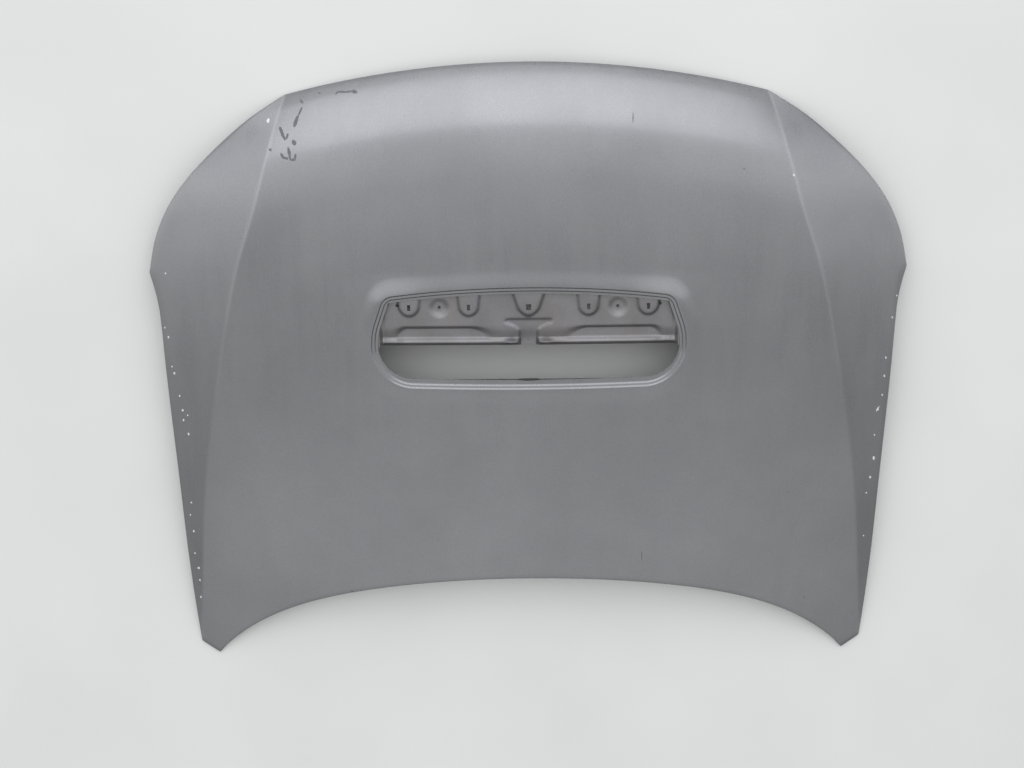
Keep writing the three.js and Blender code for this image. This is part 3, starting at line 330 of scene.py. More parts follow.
def skinPlan(columns, shares, shifts):
    onCrease = mix(bonnet["earOuter"][1], corner[1], shares) + shifts
    side = np.sign(columns) * mix(crease(onCrease), flank(onCrease), np.abs(columns) - 1)
    rear, front = rearEdge(columns * bonnet["earOuter"][0]), frontEdge(np.clip(columns, -1, 1) * corner[0])
    middleX = columns * crease(onCrease)
    middleY = mix(rear, front, shares) + shifts
    outside = np.abs(columns) > 1
    return np.stack([np.where(outside, side, middleX), np.where(outside, onCrease, middleY)], -1)


def makeOuterSkin():
    ear = bonnet["earOuter"]
    foot = scoop["foot"]
    frontFoot = scoop["frontY"] + scoop["frontBow"] + foot
    rearFoot = scoop["rearY"] - scoop["rearBow"] - foot
    around = skinRows["aroundScoop"]
    scoopColumn = (scoop["rearHalf"] + foot + around["side"]) / float(crease(np.array(float(frontFoot))))
    half = between([0, scoopColumn, bonnet["earNotchX"] / ear[0], bonnet["earTip"][0] / ear[0],
                    *skinRows["nearCrease"], 1], skinRows["columnPitch"])
    half = np.concatenate([half, 1 + np.linspace(0, 1, skinRows["flankColumns"] + 1)[1:] ** 1.5])
    columns = np.concatenate([-half[:0:-1], half])
    length = bonnet["frontY"] - bonnet["rearY"]
    scoopShares = [(rearFoot - around["rear"] - bonnet["rearY"]) / length,
                   (frontFoot + around["front"] - bonnet["rearY"]) / length]
    widest = (bonnet["widest"][1] - ear[1]) / (corner[1] - ear[1])
    main = [(0, 0), (0, skinRows["rearCrease"]), (skinRows["rearShare"], 0), (scoopShares[0], 0),
            (scoopShares[1], 0), (widest, 0), (skinRows["frontShare"], 0)]
    main += [(1, shift) for shift in skinRows["nose"]]
    rows = [main[0]]
    for a, b in zip(main, main[1:]):
        span = abs((b[0] - a[0]) * length + b[1] - a[1])
        count = max(1, round(span / skinRows["pitch"]))
        rows += [(mix(a[0], b[0], k / count), mix(a[1], b[1], k / count)) for k in range(1, count + 1)]
    shares, shifts = (np.array([row[k] for row in rows], float)[:, None] for k in (0, 1))
    plan = skinPlan(np.broadcast_to(columns, (len(rows), len(columns))), shares, shifts)
    plan[-1, :, 1] -= skinRows["noseSetback"] * (1 - softRamp(np.abs(columns), *skinRows["setbackFade"]))
    sheet = Sheet()
    z = surface(plan[..., 0], plan[..., 1])
    ids = sheet.add(np.concatenate([plan, z[..., None]], -1))
    r0, r1 = (int(np.argmin(np.abs(shares - share) + np.abs(shifts))) for share in scoopShares)
    c0, c1 = (int(np.argmin(np.abs(columns - at))) for at in (-scoopColumn, scoopColumn))
    isOpen = np.zeros((len(rows) - 1, len(columns) - 1), bool)
    isOpen[r0:r1, c0:c1] = True
    sheet.grid(ids, isOpen)

    rim = scoopRim()
    out = outwards(rim)
    lip = mix(scoop["lipSide"], np.where(out[:, 1] > 0, scoop["lipFront"], scoop["lipRear"]), out[:, 1] ** 2)
    dip = scoop["centreDip"] * (1 - softRamp(np.abs(rim[:, 0]), 0, scoop["centreDipHalf"]))
    lip -= np.where(out[:, 1] < 0, dip, 0)
    atCorner = np.abs(np.abs(out[:, 0]) - scoop["reliefAt"]) * scoop["frontRound"]
    relief = scoop["reliefDepth"] * (1 - softRamp(atCorner, 0, scoop["reliefHalf"]))
    lip -= np.where(out[:, 1] > 0.3, relief * (rim[:, 1] > scoop["frontY"] - scoop["frontRound"]), 0)

    def ring(offset, rise, drop):
        ringPlan = rim + out * np.broadcast_to(offset, len(rim))[:, None]
        height = surface(ringPlan[:, 0], ringPlan[:, 1]) + plinth(rim[:, 0], rim[:, 1]) * rise - drop
        return sheet.add(np.concatenate([ringPlan, height[:, None]], -1))

    rings = []
    for distance in (foot, *scoop["ringsOutside"]):
        rings.append(ring(distance, 1 - float(softRamp(distance, 0, foot)), 0.0))
    drop, width = scoop["stepDrop"], scoop["stepWidth"]
    for count, middle in enumerate(scoop["stepMiddles"]):  # two small rounded steps
        for t in np.linspace(0, 1, scoop["ringsInStep"]):
            rings.append(ring(-(middle + (t - 0.5) * width), 1, drop * (count + float(softRamp(t, 0, 1)))))
    inner = scoop["stepMiddles"][1] + width / 2
    rings.append(ring(-0.5 * (lip + inner), 1, 2 * drop))
    rings.append(ring(-lip, 1, 2 * drop))
    sheet.stitch(borderOf(ids, r0, r1, c0, c1), rings[0])
    for a, b in zip(rings, rings[1:]):
        sheet.band(a, b)

    edge = borderOf(ids, 0, len(rows) - 1, 0, len(columns) - 1)
    at = np.array(sheet.points)[edge]
    keep = np.linalg.norm(at - np.roll(at, -1, 0), axis=1) > 0.01
    edge, at = edge[keep], at[keep]
    plan = at[:, :2]
    away = outwards(plan)
    up = upward(plan[:, 0], plan[:, 1], bonnet["edgeStep"])
    side = np.concatenate([away, np.zeros((len(away), 1))], -1)
    side -= up * np.sum(side * up, 1, keepdims=True)
    side /= np.linalg.norm(side, axis=1, keepdims=True)
    folds = [edge]
    for k in range(1, foldSteps + 1):
        turn = math.pi * k / foldSteps
        down, out = foldRadius * (1 - math.cos(turn)), foldReach * math.sin(turn)
        folds.append(sheet.add(at - up * down + side * out))
    back = mix(bonnet["earReturn"], bonnet["hemReturn"], ramp(plan[:, 1] - ear[1], *bonnet["returnBlend"]))
    tail = below(plan - away * back[:, None], np.full(len(plan), 2 * foldRadius), bonnet["edgeStep"])
    folds.append(sheet.add(tail))
    for a, b in zip(folds, folds[1:]):
        sheet.band(b, a)
    return sheet.piece("outerSkin", bonnet["skin"])


# Painted highlight: the paint along the crease is drawn lighter, most of all near the nose, standing in for
# the bright line the crease reflects
creaseWear = {"halfWidth": 2.8, "most": 0.22, "least": 0.06, "fadeY": (-150, 330)}


def addCreaseHighlight(piece):
    places = np.array([v.co for v in piece.data.vertices]) / mm - originShift
    aside = np.abs(places[:, 0]) - crease(places[:, 1])
    along = mix(creaseWear["least"], creaseWear["most"], softRamp(places[:, 1], *creaseWear["fadeY"]))
    highlightShare = along * np.exp(-(aside / creaseWear["halfWidth"]) ** 2)
    layer = piece.data.attributes.new("creaseWear", "FLOAT", "POINT")
    layer.data.foreach_set("value", highlightShare.astype(np.float32))


# Inner panel: perimeter channels, ribs, cut-outs and the duct shelf
panel = {
    "frameInset": 30, "channelDepth": 20, "landDepth": 4.8, "land": 12, "wall": 10,
    "centreRibHalf": 14, "centreLand": 16, "ribBottom": 16, "cutout": 110, "scoopRib": 36,
    "frontChannel": 116, "strikerFront": 80, "crossRib": 14, "rearChannel": 71,
    "shelfToFrontRib": 39, "shelfToRearRib": 40, "referenceY": 80,
    "hingeColumns": (575, 645), "hingeStart": 14, "hingeEase": 12,
    "strikerHalf": 42, "strikerDepth": 24, "strikerEase": {"side": 10, "rear": 6, "front": 14},
    "flangeInsets": (1.6, 7, 13), "cutoutRound": 22,
    "linePitch": 14, "wallPitch": 2.6,
}
duct = {
    "half": 318, "front": 205, "rear": -40, "wall": 15,
    "openHalf": 289.5, "openFront": 68, "openRear": 0.5, "rearRound": 35, "frontRound": 9,
    "recess": 7, "step": 9, "stepY": 107, "beadRise": 7, "beadAt": 75, "beadHalf": 9.5, "ease": 8,
    "stepSoft": 34, "beadEndRise": 0.8, "beadEnd": (33, 13),
    "pads": (-226.5, -113.5, 0, 113.5, 226.5), "padHalf": 12.5, "padRear": 131, "padEase": 9,
    "middlePadSpread": 16, "groove": 0.35, "grooveHalf": 2.4,
    "slot": (6, 11), "middleSlot": 10, "slotY": 143,
    "dimple": (169.5, 142), "dimpleRadius": 22, "dimpleDepth": 6,
    "gobletHalf": 40, "gobletChannel": 13, "gobletDepth": 5,
    "stepFade": {"middle": (55, 110), "end": (235, 262)},
    "pitchX": 2.6, "pitchY": 2.4,
}


def slopeFactor(edge, at):
    return np.sqrt(1 + ((edge(at + 1) - edge(at - 1)) / 2) ** 2)


def frameSide(y):
    return flank(y) - panel["frameInset"] * slopeFactor(flank, y)


def frameFront(x):
    return frontEdge(x) - panel["frameInset"] * slopeFactor(frontEdge, x)


def frameRear(x):
    return archEdge(x) + panel["frameInset"] * slopeFactor(archEdge, np.abs(x))


def settle(guess, edge):
    y = np.array(float(guess))
    for _ in range(12):
        y = edge(frameSide(y))
    return float(y)


frameFrontY = settle(corner[1] - panel["frameInset"], frameFront)
frameRearY = settle(bonnet["earOuter"][1] + panel["frameInset"], frameRear)
panelHalf = float(frameSide(np.array(float(panel["referenceY"]))))
frameLength = float(frameFront(np.array(0.0)) - frameRear(np.array(0.0)))


def layLines(steps):  # each step is (width, low, opens); returns (place, low, opens)
    lines = [(0.0, steps[0][1], False)]
    for width, low, opens in steps[1:]:
        lines.append((lines[-1][0] + width, low, opens))
    return lines


def halfColumns():
    p = panel
    land, up, down = (p["land"], 0, False), (p["wall"], 0, False), (p["wall"], 1, False)
    bay = (p["cutout"], 0, True)
    toBlock = [(0, 1, False), (p["centreRibHalf"], 1, False), up, (p["centreLand"], 0, False), bay,
               land, down, (p["ribBottom"], 1, False), up, land, bay, land, down, (p["scoopRib"], 1, False)]
    lines = layLines(toBlock + [up, land, bay, land, down])
    tail = [(float(at), 1, False) for at in p["hingeColumns"]] + [(panelHalf, 1, False)]
    return lines + tail, len(toBlock) - 1


def panelRows():  # (share, shift, low, opens) from the rear frame to the nose
    p = panel
    land, up, down = (p["land"], 0, False), (p["wall"], 0, False), (p["wall"], 1, False)
    rib = (p["crossRib"], 1, False)
    nose = [(0, 1, False), (p["strikerFront"], 1, False),
            (p["frontChannel"] - p["strikerFront"], 1, False), up, land]
    toRib, fromRib, rear = [land, down, rib], [up, land], [land, down]

    def total(steps):
        return sum(step[0] for step in steps)

    front = float(frameFront(np.array(0.0)))
    frontRib = front - duct["front"] - p["shelfToFrontRib"]
    rearRib = front - duct["rear"] + p["shelfToRearRib"]
    bays = [frontRib - total(nose + toRib), rearRib - frontRib - total(fromRib + toRib),
            frameLength - p["rearChannel"] - rearRib - total(fromRib + rear)]
    halves = [[(length / 2, 0, True)] * 2 for length in bays]
    toFrontRib, toRearRib = nose + halves[0] + toRib, fromRib + halves[1] + toRib
    lines = layLines(toFrontRib + toRearRib + fromRib + halves[2] + rear)
    rows = []
    for i, (at, low, opens) in enumerate(lines):
        behind, ahead = i >= len(lines) - len(rear), i <= len(nose)
        share = 1.0 if ahead else 0.0 if behind else 1 - at / frameLength
        shift = (-at if ahead else 0) + (frameLength - at if behind else 0)
        rows.append((share, shift, low, opens))
    rows = [(0.0, 0.0, 1, False), (0.0, float(p["hingeStart"]), 1, False)] + rows[::-1]
    frontRibRow = len(rows) - len(toFrontRib)
    return rows, frontRibRow - len(toRearRib), frontRibRow


def panelPlan(at, share, shift):
    onSide = mix(frameRearY, frameFrontY, share) + shift
    column = at / panelHalf
    rear = frameRear(column * frameSide(np.array(frameRearY)))
    front = frameFront(column * frameSide(np.array(frameFrontY)))
    return np.stack([column * frameSide(onSide), mix(rear, front, share) + shift], -1)


def channelDepth(plan):
    return np.clip(surface(plan[..., 0], plan[..., 1]), panel["landDepth"], panel["channelDepth"])


def flatPad(middle, up, depth):
    here = surface(np.array(middle[0]), np.array(middle[1]))
    return {"centre": np.array([middle[0], middle[1], float(here) - depth]), "up": up}


def onPad(pad, plan):
    slide = sum(pad["up"][k] * (plan[..., k] - pad["centre"][k]) for k in (0, 1))
    return np.concatenate([plan, (pad["centre"][2] - slide / pad["up"][2])[..., None]], -1)


def hingePad(side, rows):
    ends = [rows[1], rows[3]]
    corners = [panelPlan(np.array(float(side * at)), np.array(r[0]), np.array(r[1]))
               for at in panel["hingeColumns"] for r in ends]
    middle = np.mean(corners, 0)
    return flatPad(middle, upward(*(np.array(v) for v in middle)), float(channelDepth(middle)))


def ductDepth(x, y):
    d = duct
    reach, ease = np.abs(x), d["ease"]
    bow = scoop["frontBow"] * np.maximum(0, 1 - (x / scoop["frontHalf"]) ** 2)
    lipY = scoop["frontY"] + bow - scoop["lipFront"] + ease + 2   # its front wall is hidden under the lip
    recess = softRamp(lipY - y, 0, ease) * softRamp(d["openHalf"] - ease / 2 - reach, 0, ease)
    pad, groove = np.zeros_like(x), np.zeros_like(x)
    for centre in d["pads"]:  # tongue with a round end, wider towards the lip at the middle one
        spread = (d["middlePadSpread"] if centre == 0 else 5) * ramp(y, d["padRear"], lipY)
        halfWidth = d["padHalf"] + spread
        dy = np.maximum(0, d["padRear"] + d["padHalf"] - y)
        distance = np.hypot(np.maximum(0, np.abs(x - centre) - halfWidth + d["padHalf"]), dy) - d["padHalf"]
        pad = np.maximum(pad, 1 - softRamp(distance, 0, d["padEase"]))
        groove = np.maximum(groove, 1 - softRamp(np.abs(distance), 0, d["grooveHalf"]))
    groove *= ramp(lipY - y, 0, ease)
    fromDimple = np.hypot(reach - d["dimple"][0], y - d["dimple"][1])
    dimple = d["dimpleDepth"] * (1 - softRamp(fromDimple, d["dimpleRadius"] / 3, d["dimpleRadius"]))
    # The step is crisp only between the middle recess and the ends
    fade = np.maximum(1 - softRamp(reach, *d["stepFade"]["middle"]), softRamp(reach, *d["stepFade"]["end"]))
    step = d["step"] * softRamp((d["stepY"] - y) / mix(ease, d["stepSoft"], fade), 0, 1)
    cup = softRamp(y, d["stepY"] - 2 * ease, d["stepY"] + ease)
    cupHalf = mix(d["gobletChannel"], d["gobletHalf"], cup ** 2)
    inGoblet = 1 - softRamp(reach, cupHalf, cupHalf + ease)
    goblet = d["gobletDepth"] * inGoblet * softRamp(d["padRear"] - ease - y, 0, ease)
    bead = d["beadRise"] * np.cos(np.clip(np.abs(y - d["beadAt"]) / d["beadHalf"], 0, 1) * math.pi / 2) ** 2
    bead *= 1 + d["beadEndRise"] * np.exp(-((reach - d["beadEnd"][0]) / d["beadEnd"][1]) ** 2)
    bead *= 1 - inGoblet
    bead *= softRamp(d["openHalf"] + ease - reach, 0, 2 * ease)
    shelf = recess * (d["recess"] * (1 - pad) + d["groove"] * groove + dimple + step + goblet - bead)
    outside = np.maximum(softRamp(reach, d["half"] - d["wall"], d["half"]),
                         np.maximum(softRamp(y, d["front"] - d["wall"], d["front"]),
                                    softRamp(-y, -d["rear"] - d["wall"], -d["rear"])))
    land = 2 * scoop["stepDrop"] + bonnet["skin"] + bonnet["hemGap"]
    return mix(land + shelf, panel["channelDepth"], outside)


def ductHeight(x, y):
    aside = np.maximum(np.abs(x) - scoop["frontHalf"], y - scoop["frontY"] - scoop["frontBow"])
    return surface(x, y) + plinth(x, y) * (1 - ramp(aside, 0, scoop["foot"])) - ductDepth(x, y)


def fillCorner(sheet, ids, xs, ys, place, c, r, dx, dy, radius):  # rounds a corner of a cut-out
    x, y = xs[c], ys[r]
    acrossIds, alongIds = [], []
    k = c + dx
    while 0 <= k < len(xs) and abs(xs[k] - x) <= radius + 0.01:
        acrossIds.append(ids[r, k])
        k += dx
    k = r + dy
    while 0 <= k < len(ys) and abs(ys[k] - y) <= radius + 0.01:
        alongIds.append(ids[k, c])
        k += dy
    turns = np.linspace(0, math.pi / 2, 8)[1:-1]
    arc = [place(x + dx * radius * (1 - math.sin(t)), y + dy * radius * (1 - math.cos(t))) for t in turns]
    arcIds = sheet.add(np.array(arc))
    outer = [*acrossIds[::-1], ids[r, c], *alongIds]
    inner = [acrossIds[-1], *arcIds, alongIds[-1]]
    outerAt = [*np.linspace(0, 0.5, len(acrossIds) + 1), *np.linspace(0.5, 1, len(alongIds) + 1)[1:]]
    sheet.zipLines(outer, outerAt, inner, np.linspace(0, 1, len(inner)), isTurned=dx * dy > 0)


def withLine(values, extra, apart=1.2):  # adds lines, dropping old ones that lie too near
    kept = [v for v in values if min(abs(v - e) for e in extra) > apart]
    return np.array(sorted([*kept, *extra]))


def ductShelf(sheet):
    d = duct
    xs = between([-d["half"], d["half"]], d["pitchX"])
    ys = between([d["rear"], d["front"]], d["pitchY"])
    halfSlot = {c: (d["slot"][0] if c else d["middleSlot"]) / 2 for c in d["pads"]}
    slotX = [c + s * halfSlot[c] for c in d["pads"] for s in (-1, 1)]
    slotY = [d["slotY"] - d["slot"][1] / 2, d["slotY"] + d["slot"][1] / 2]
    innerX = [s * (d["openHalf"] - v) for s in (-1, 1) for v in (0, d["rearRound"], d["frontRound"])]
    innerY = [d["openRear"], d["openRear"] + d["rearRound"], d["openFront"], d["openFront"] - d["frontRound"]]
    xs = withLine(xs, [-d["half"], d["half"], *slotX, *innerX])
    ys = withLine(ys, [d["rear"], d["front"], *slotY, *innerY])
    gridX, gridY = np.meshgrid(xs, ys)
    ids = sheet.add(np.stack([gridX, gridY, ductHeight(gridX, gridY)], -1))
    midX, midY = np.meshgrid((xs[1:] + xs[:-1]) / 2, (ys[1:] + ys[:-1]) / 2)
    inSlot = np.zeros_like(midX, bool)
    for centre in d["pads"]:
        inSlot |= (np.abs(midX - centre) < halfSlot[centre]) & (np.abs(midY - d["slotY"]) < d["slot"][1] / 2)
    inDuct = (np.abs(midX) < d["openHalf"]) & (midY > d["openRear"]) & (midY < d["openFront"])
    sheet.grid(ids, inSlot | inDuct)

    def place(x, y):
        return [x, y, float(ductHeight(np.array(x), np.array(y)))]

    for y, dy, radius in ((d["openRear"], 1, d["rearRound"]), (d["openFront"], -1, d["frontRound"])):
        for side in (-1, 1):
            c = int(np.argmin(np.abs(xs - side * d["openHalf"])))
            r = int(np.argmin(np.abs(ys - y)))
            fillCorner(sheet, ids, xs, ys, place, c, r, -side, dy, radius)
    return borderOf(ids, 0, len(ys) - 1, 0, len(xs) - 1)


def fineLines(lines, pitches, valuesOf):
    made = [lines[0]]
    for a, b in zip(lines, lines[1:]):
        isWall = valuesOf(a)[-1] != valuesOf(b)[-1]
        span = abs(sum(valuesOf(b)[:-1]) - sum(valuesOf(a)[:-1]))
        count = max(1, math.ceil(span / pitches[1 if isWall else 0]))
        for k in range(1, count + 1):
            t = k / count
            values = [mix(p, q, t) for p, q in zip(a[:-2], b[:-2])]
            eased = t * t * (3 - 2 * t)
            made.append((*values, mix(a[-2], b[-2], eased), b[-1]))
    return made


def makeInnerPanel():
    p = panel
    pitches = (p["linePitch"], p["wallPitch"])
    half, block = halfColumns()
    blockAt = half[block][0]
    rows, r0, r1 = panelRows()
    pads = {side: hingePad(side, rows) for side in (-1, 1)}
    strikerRows = [rows[-2], rows[-3]]
    strikerY = float(frameFront(np.array(0.0))) - (p["strikerFront"] + p["frontChannel"]) / 2
    striker = flatPad((0.0, strikerY), np.array([0, 0, 1.0]), p["strikerDepth"])

    roundAt = p["cutoutRound"]
    bayColumns = [(half[i - 1][0], half[i][0]) for i in range(1, len(half)) if half[i][2]]
    columnMarks = {line[0]: line for line in half}
    for low, high in bayColumns:
        for at in (low + roundAt, high - roundAt):
            columnMarks[at] = (at, 0, True)
    half = [columnMarks[at] for at in sorted(columnMarks)]
    fineHalf = fineLines(half, pitches, lambda v: (v[0], v[1]))
    columns = [(-at, low, False) for at, low, _ in fineHalf[:0:-1]] + fineHalf
    xs = np.array([v[0] for v in columns])
    lowX = np.array([v[1] for v in columns], float)

    def isBayColumn(at):
        return any(low < abs(at) < high for low, high in bayColumns)

    # Rows are counted in mm from the rear frame line on the middle of the panel
    def rowPlace(row):
        return row[0] * frameLength + row[1]

    rowAt = [rowPlace(row) for row in rows]
    bayRows = []
    for i in range(len(rows) - 1):
        if rows[i][3]:
            if bayRows and abs(bayRows[-1][1] - rowAt[i]) < 0.01:
                bayRows[-1] = (bayRows[-1][0], rowAt[i + 1])
            else:
                bayRows.append((rowAt[i], rowAt[i + 1]))
    shares, shifts = [row[0] for row in rows], [row[1] for row in rows]
    fineRows = [(rowAt[0], 1.0)]
    for i in range(len(rows) - 1):
        a, b = rowAt[i], rowAt[i + 1]
        marks = [a, b]
        for low, high in bayRows:
            marks += [v for v in (low + roundAt, high - roundAt) if a + 1 < v < b - 1]
        marks = sorted(marks)
        isWall = rows[i][2] != rows[i + 1][2]
        for m0, m1 in zip(marks, marks[1:]):
            count = max(1, math.ceil((m1 - m0) / pitches[1 if isWall else 0]))
            for k in range(1, count + 1):
                v = mix(m0, m1, k / count)
                t = float(softRamp(v, a, b))
                fineRows.append((v, mix(rows[i][2], rows[i + 1][2], t)))
    ys = np.array([v[0] for v in fineRows])
    lowY = np.array([v[1] for v in fineRows], float)

    def netPoint(gx, gy, lx, ly):
        plan = panelPlan(gx, np.interp(gy, rowAt, shares), np.interp(gy, rowAt, shifts))
        low = 1 - (1 - lx) * (1 - ly)
        point = below(plan, mix(p["landDepth"], channelDepth(plan), low))
        for side, pad in pads.items():
            near, far = p["hingeColumns"]
            inX = ramp(side * gx, near - p["hingeEase"], near)
            inX = inX * ramp(-side * gx, -far - p["hingeEase"], -far)
            inY = ramp(gy, 0, p["hingeStart"]) * ramp(-gy, -rowAt[4], -rowAt[3])
            share = (inX * inY)[..., None]
            point = mix(point, onPad(pad, plan), share * share * (3 - 2 * share))
        ease = p["strikerEase"]
        inX = ramp(-np.abs(gx), -p["strikerHalf"] - ease["side"], -p["strikerHalf"])
        front = [rowPlace(row) for row in strikerRows]
        inY = ramp(gy, front[1] - ease["rear"], front[1]) * ramp(-gy, -front[0] - ease["front"], -front[0])
        share = (inX * inY)[..., None]
        return mix(point, onPad(striker, plan), share * share * (3 - 2 * share))

    sheet = Sheet()
    gridX, gridY = np.meshgrid(xs, ys)
    lx, ly = np.meshgrid(lowX, lowY)
    ids = sheet.add(netPoint(gridX, gridY, lx, ly))
    midX, midY = (xs[1:] + xs[:-1]) / 2, (ys[1:] + ys[:-1]) / 2
    bayX = np.array([isBayColumn(v) for v in midX])
    bayY = np.array([any(low < v < high for low, high in bayRows) for v in midY])
    inBlockX = np.abs(midX) < blockAt
    inBlockY = (midY > rowAt[r0]) & (midY < rowAt[r1])
    isBlock = inBlockY[:, None] & inBlockX[None, :]
    sheet.grid(ids, isBlock | (bayY[:, None] & bayX[None, :]))

    def place(x, y):
        zero = np.array(0.0)
        return netPoint(np.array(float(x)), np.array(float(y)), zero, zero)

    for low, high in bayColumns:
        for side in (-1, 1):
            for rowLow, rowHigh in bayRows:
                inside = abs(low + high) / 2 < blockAt and rowAt[r0] < (rowLow + rowHigh) / 2 < rowAt[r1]
                if inside:
                    continue
                for x, dx in ((low, 1), (high, -1)):
                    for y, dy in ((rowLow, 1), (rowHigh, -1)):
                        c = int(np.argmin(np.abs(xs - side * x)))
                        r = int(np.argmin(np.abs(ys - y)))
                        fillCorner(sheet, ids, xs, ys, place, c, r, side * dx, dy, roundAt)

    c0, c1 = (int(np.argmin(np.abs(xs - s * blockAt))) for s in (-1, 1))
    b0, b1 = (int(np.argmin(np.abs(ys - rowAt[r]))) for r in (r0, r1))
    sheet.stitch(borderOf(ids, b0, b1, c0, c1), ductShelf(sheet))

    outline = skinPlan(*outlineMarks())
    away = outwards(outline)
    depth = np.full(len(outline), bonnet["skin"] + bonnet["hemGap"])
    flange = [sheet.add(below(outline - away * inset, depth, bonnet["edgeStep"]))
              for inset in p["flangeInsets"]]
    for a, b in zip(flange, flange[1:]):
        sheet.band(a, b)
    sheet.stitch(flange[-1], borderOf(ids, 0, len(ys) - 1, 0, len(xs) - 1))
    made = sheet.piece("innerPanel", bonnet["inner"])
    return made, pads, striker


def outlineMarks():  # columns, shares and shifts round the bonnet's edge, anticlockwise
    ear = bonnet["earOuter"][0]
    half = between([0, bonnet["earNotchX"] / ear, bonnet["earTip"][0] / ear, 1], 0.022)
    half = np.concatenate([half, [1.25, 1.5, 1.75, 2]])
    across = np.concatenate([-half[:0:-1], half])
    up = np.linspace(0, 1, 110)
    columns = np.concatenate([across, np.full(109, 2.0), across[::-1][1:], np.full(108, -2.0)])
    shares = np.concatenate([np.zeros(len(across)), up[1:], np.ones(len(across) - 1), up[::-1][1:-1]])
    plan = skinPlan(columns, shares, np.zeros_like(shares))
    keep = np.linalg.norm(plan - np.roll(plan, -1, 0), axis=1) > 0.01
    return columns[keep], shares[keep], np.zeros(int(keep.sum()))


def drillHoles(piece, holes, depth=12.0):  # each hole is (centre, direction, radius) in mm
    cutters = []
    for centre, direction, radius in holes:
        bpy.ops.mesh.primitive_cylinder_add(vertices=40, radius=radius * mm, depth=depth * mm,
                                            location=(np.array(centre) + originShift) * mm)
        cutter = bpy.context.active_object
        cutter.rotation_euler = Vector(direction).to_track_quat("Z", "Y").to_euler()
        cutters.append(cutter)
    bpy.ops.object.select_all(action="DESELECT")
    for cutter in cutters:
        cutter.select_set(True)
    bpy.context.view_layer.objects.active = cutters[0]
    bpy.ops.object.join()
    cut = piece.modifiers.new("holes", "BOOLEAN")
    cut.operation, cut.object, cut.solver = "DIFFERENCE", cutters[0], "EXACT"
    applyModifiers(piece)
    bpy.data.objects.remove(cutters[0])


# Materials
def colour(hexCode):
    values = [int(hexCode[k:k + 2], 16) / 255 for k in (1, 3, 5)]
    return (*[v / 12.92 if v <= 0.04045 else ((v + 0.055) / 1.055) ** 2.4 for v in values], 1.0)


def addNode(tree, kind, inputs=None, **settings):
    node = tree.nodes.new(kind)
    for key, value in settings.items():
        setattr(node, key, value)
    for key, value in (inputs or {}).items():
        if isinstance(value, bpy.types.NodeSocket):
            tree.links.new(value, node.inputs[key])
        else:
            node.inputs[key].default_value = value
    return node


def startMaterial(name):
    material = bpy.data.materials.new(name)
    material.use_nodes = True
    tree = material.node_tree
    tree.nodes.clear()
    place = addNode(tree, "ShaderNodeTexCoord").outputs["Object"]
    return material, tree, place


def finishMaterial(tree, **inputs):
    shader = addNode(tree, "ShaderNodeBsdfPrincipled", inputs)
    addNode(tree, "ShaderNodeOutputMaterial", {"Surface": shader.outputs["BSDF"]})


def blendColour(tree, share, first, second, mode="MIX"):
    node = addNode(tree, "ShaderNodeMix", data_type="RGBA", blend_type=mode)
    for index, value in ((0, share), (6, first), (7, second)):
        if isinstance(value, bpy.types.NodeSocket):
            tree.links.new(value, node.inputs[index])
        else:
            node.inputs[index].default_value = value
    return node.outputs[2]


def stretched(tree, place, scale):
    return addNode(tree, "ShaderNodeMapping", {"Vector": place, "Scale": scale}).outputs["Vector"]


def noise(tree, place, sizeMm, detail=3.0, low=0.35, high=0.65):
    made = addNode(tree, "ShaderNodeTexNoise",
                   {"Vector": place, "Scale": 1 / (sizeMm * mm), "Detail": detail})
    return addNode(tree, "ShaderNodeMapRange", {"Value": made.outputs["Fac"], "From Min": low,
                                                "From Max": high}).outputs["Result"]


# Two-coat metallic paint: aluminium flakes under a clear coat, dulled by fine dust. Flakes are
# about 0.05 mm and are drawn coarser, or they wouldn't show.
paintLook = {
    # The lightest colour here is a painted highlight for the crease
    "base": "#858689", "deep": "#7f8083", "dust": "#989794", "dustShare": 0.07, "worn": "#b9babd",
    "metallic": 0.85, "roughness": 0.27, "roughMore": 0.07, "coat": 0.6, "coatRoughness": 0.12,
    "flakeMm": 1.1, "streakMm": 26, "cloudMm": 180, "peelMm": 4, "peelDepthMm": 0.2,
}
# The same colour sprayed thin inside, without much gloss, and with dirt lying in it
insideLook = {
    **paintLook, "base": "#828286", "deep": "#767678", "dust": "#8c8378", "dustShare": 0.3,
    "roughness": 0.42, "coat": 0.25, "coatRoughness": 0.3, "streakMm": 40, "cloudMm": 60,
}


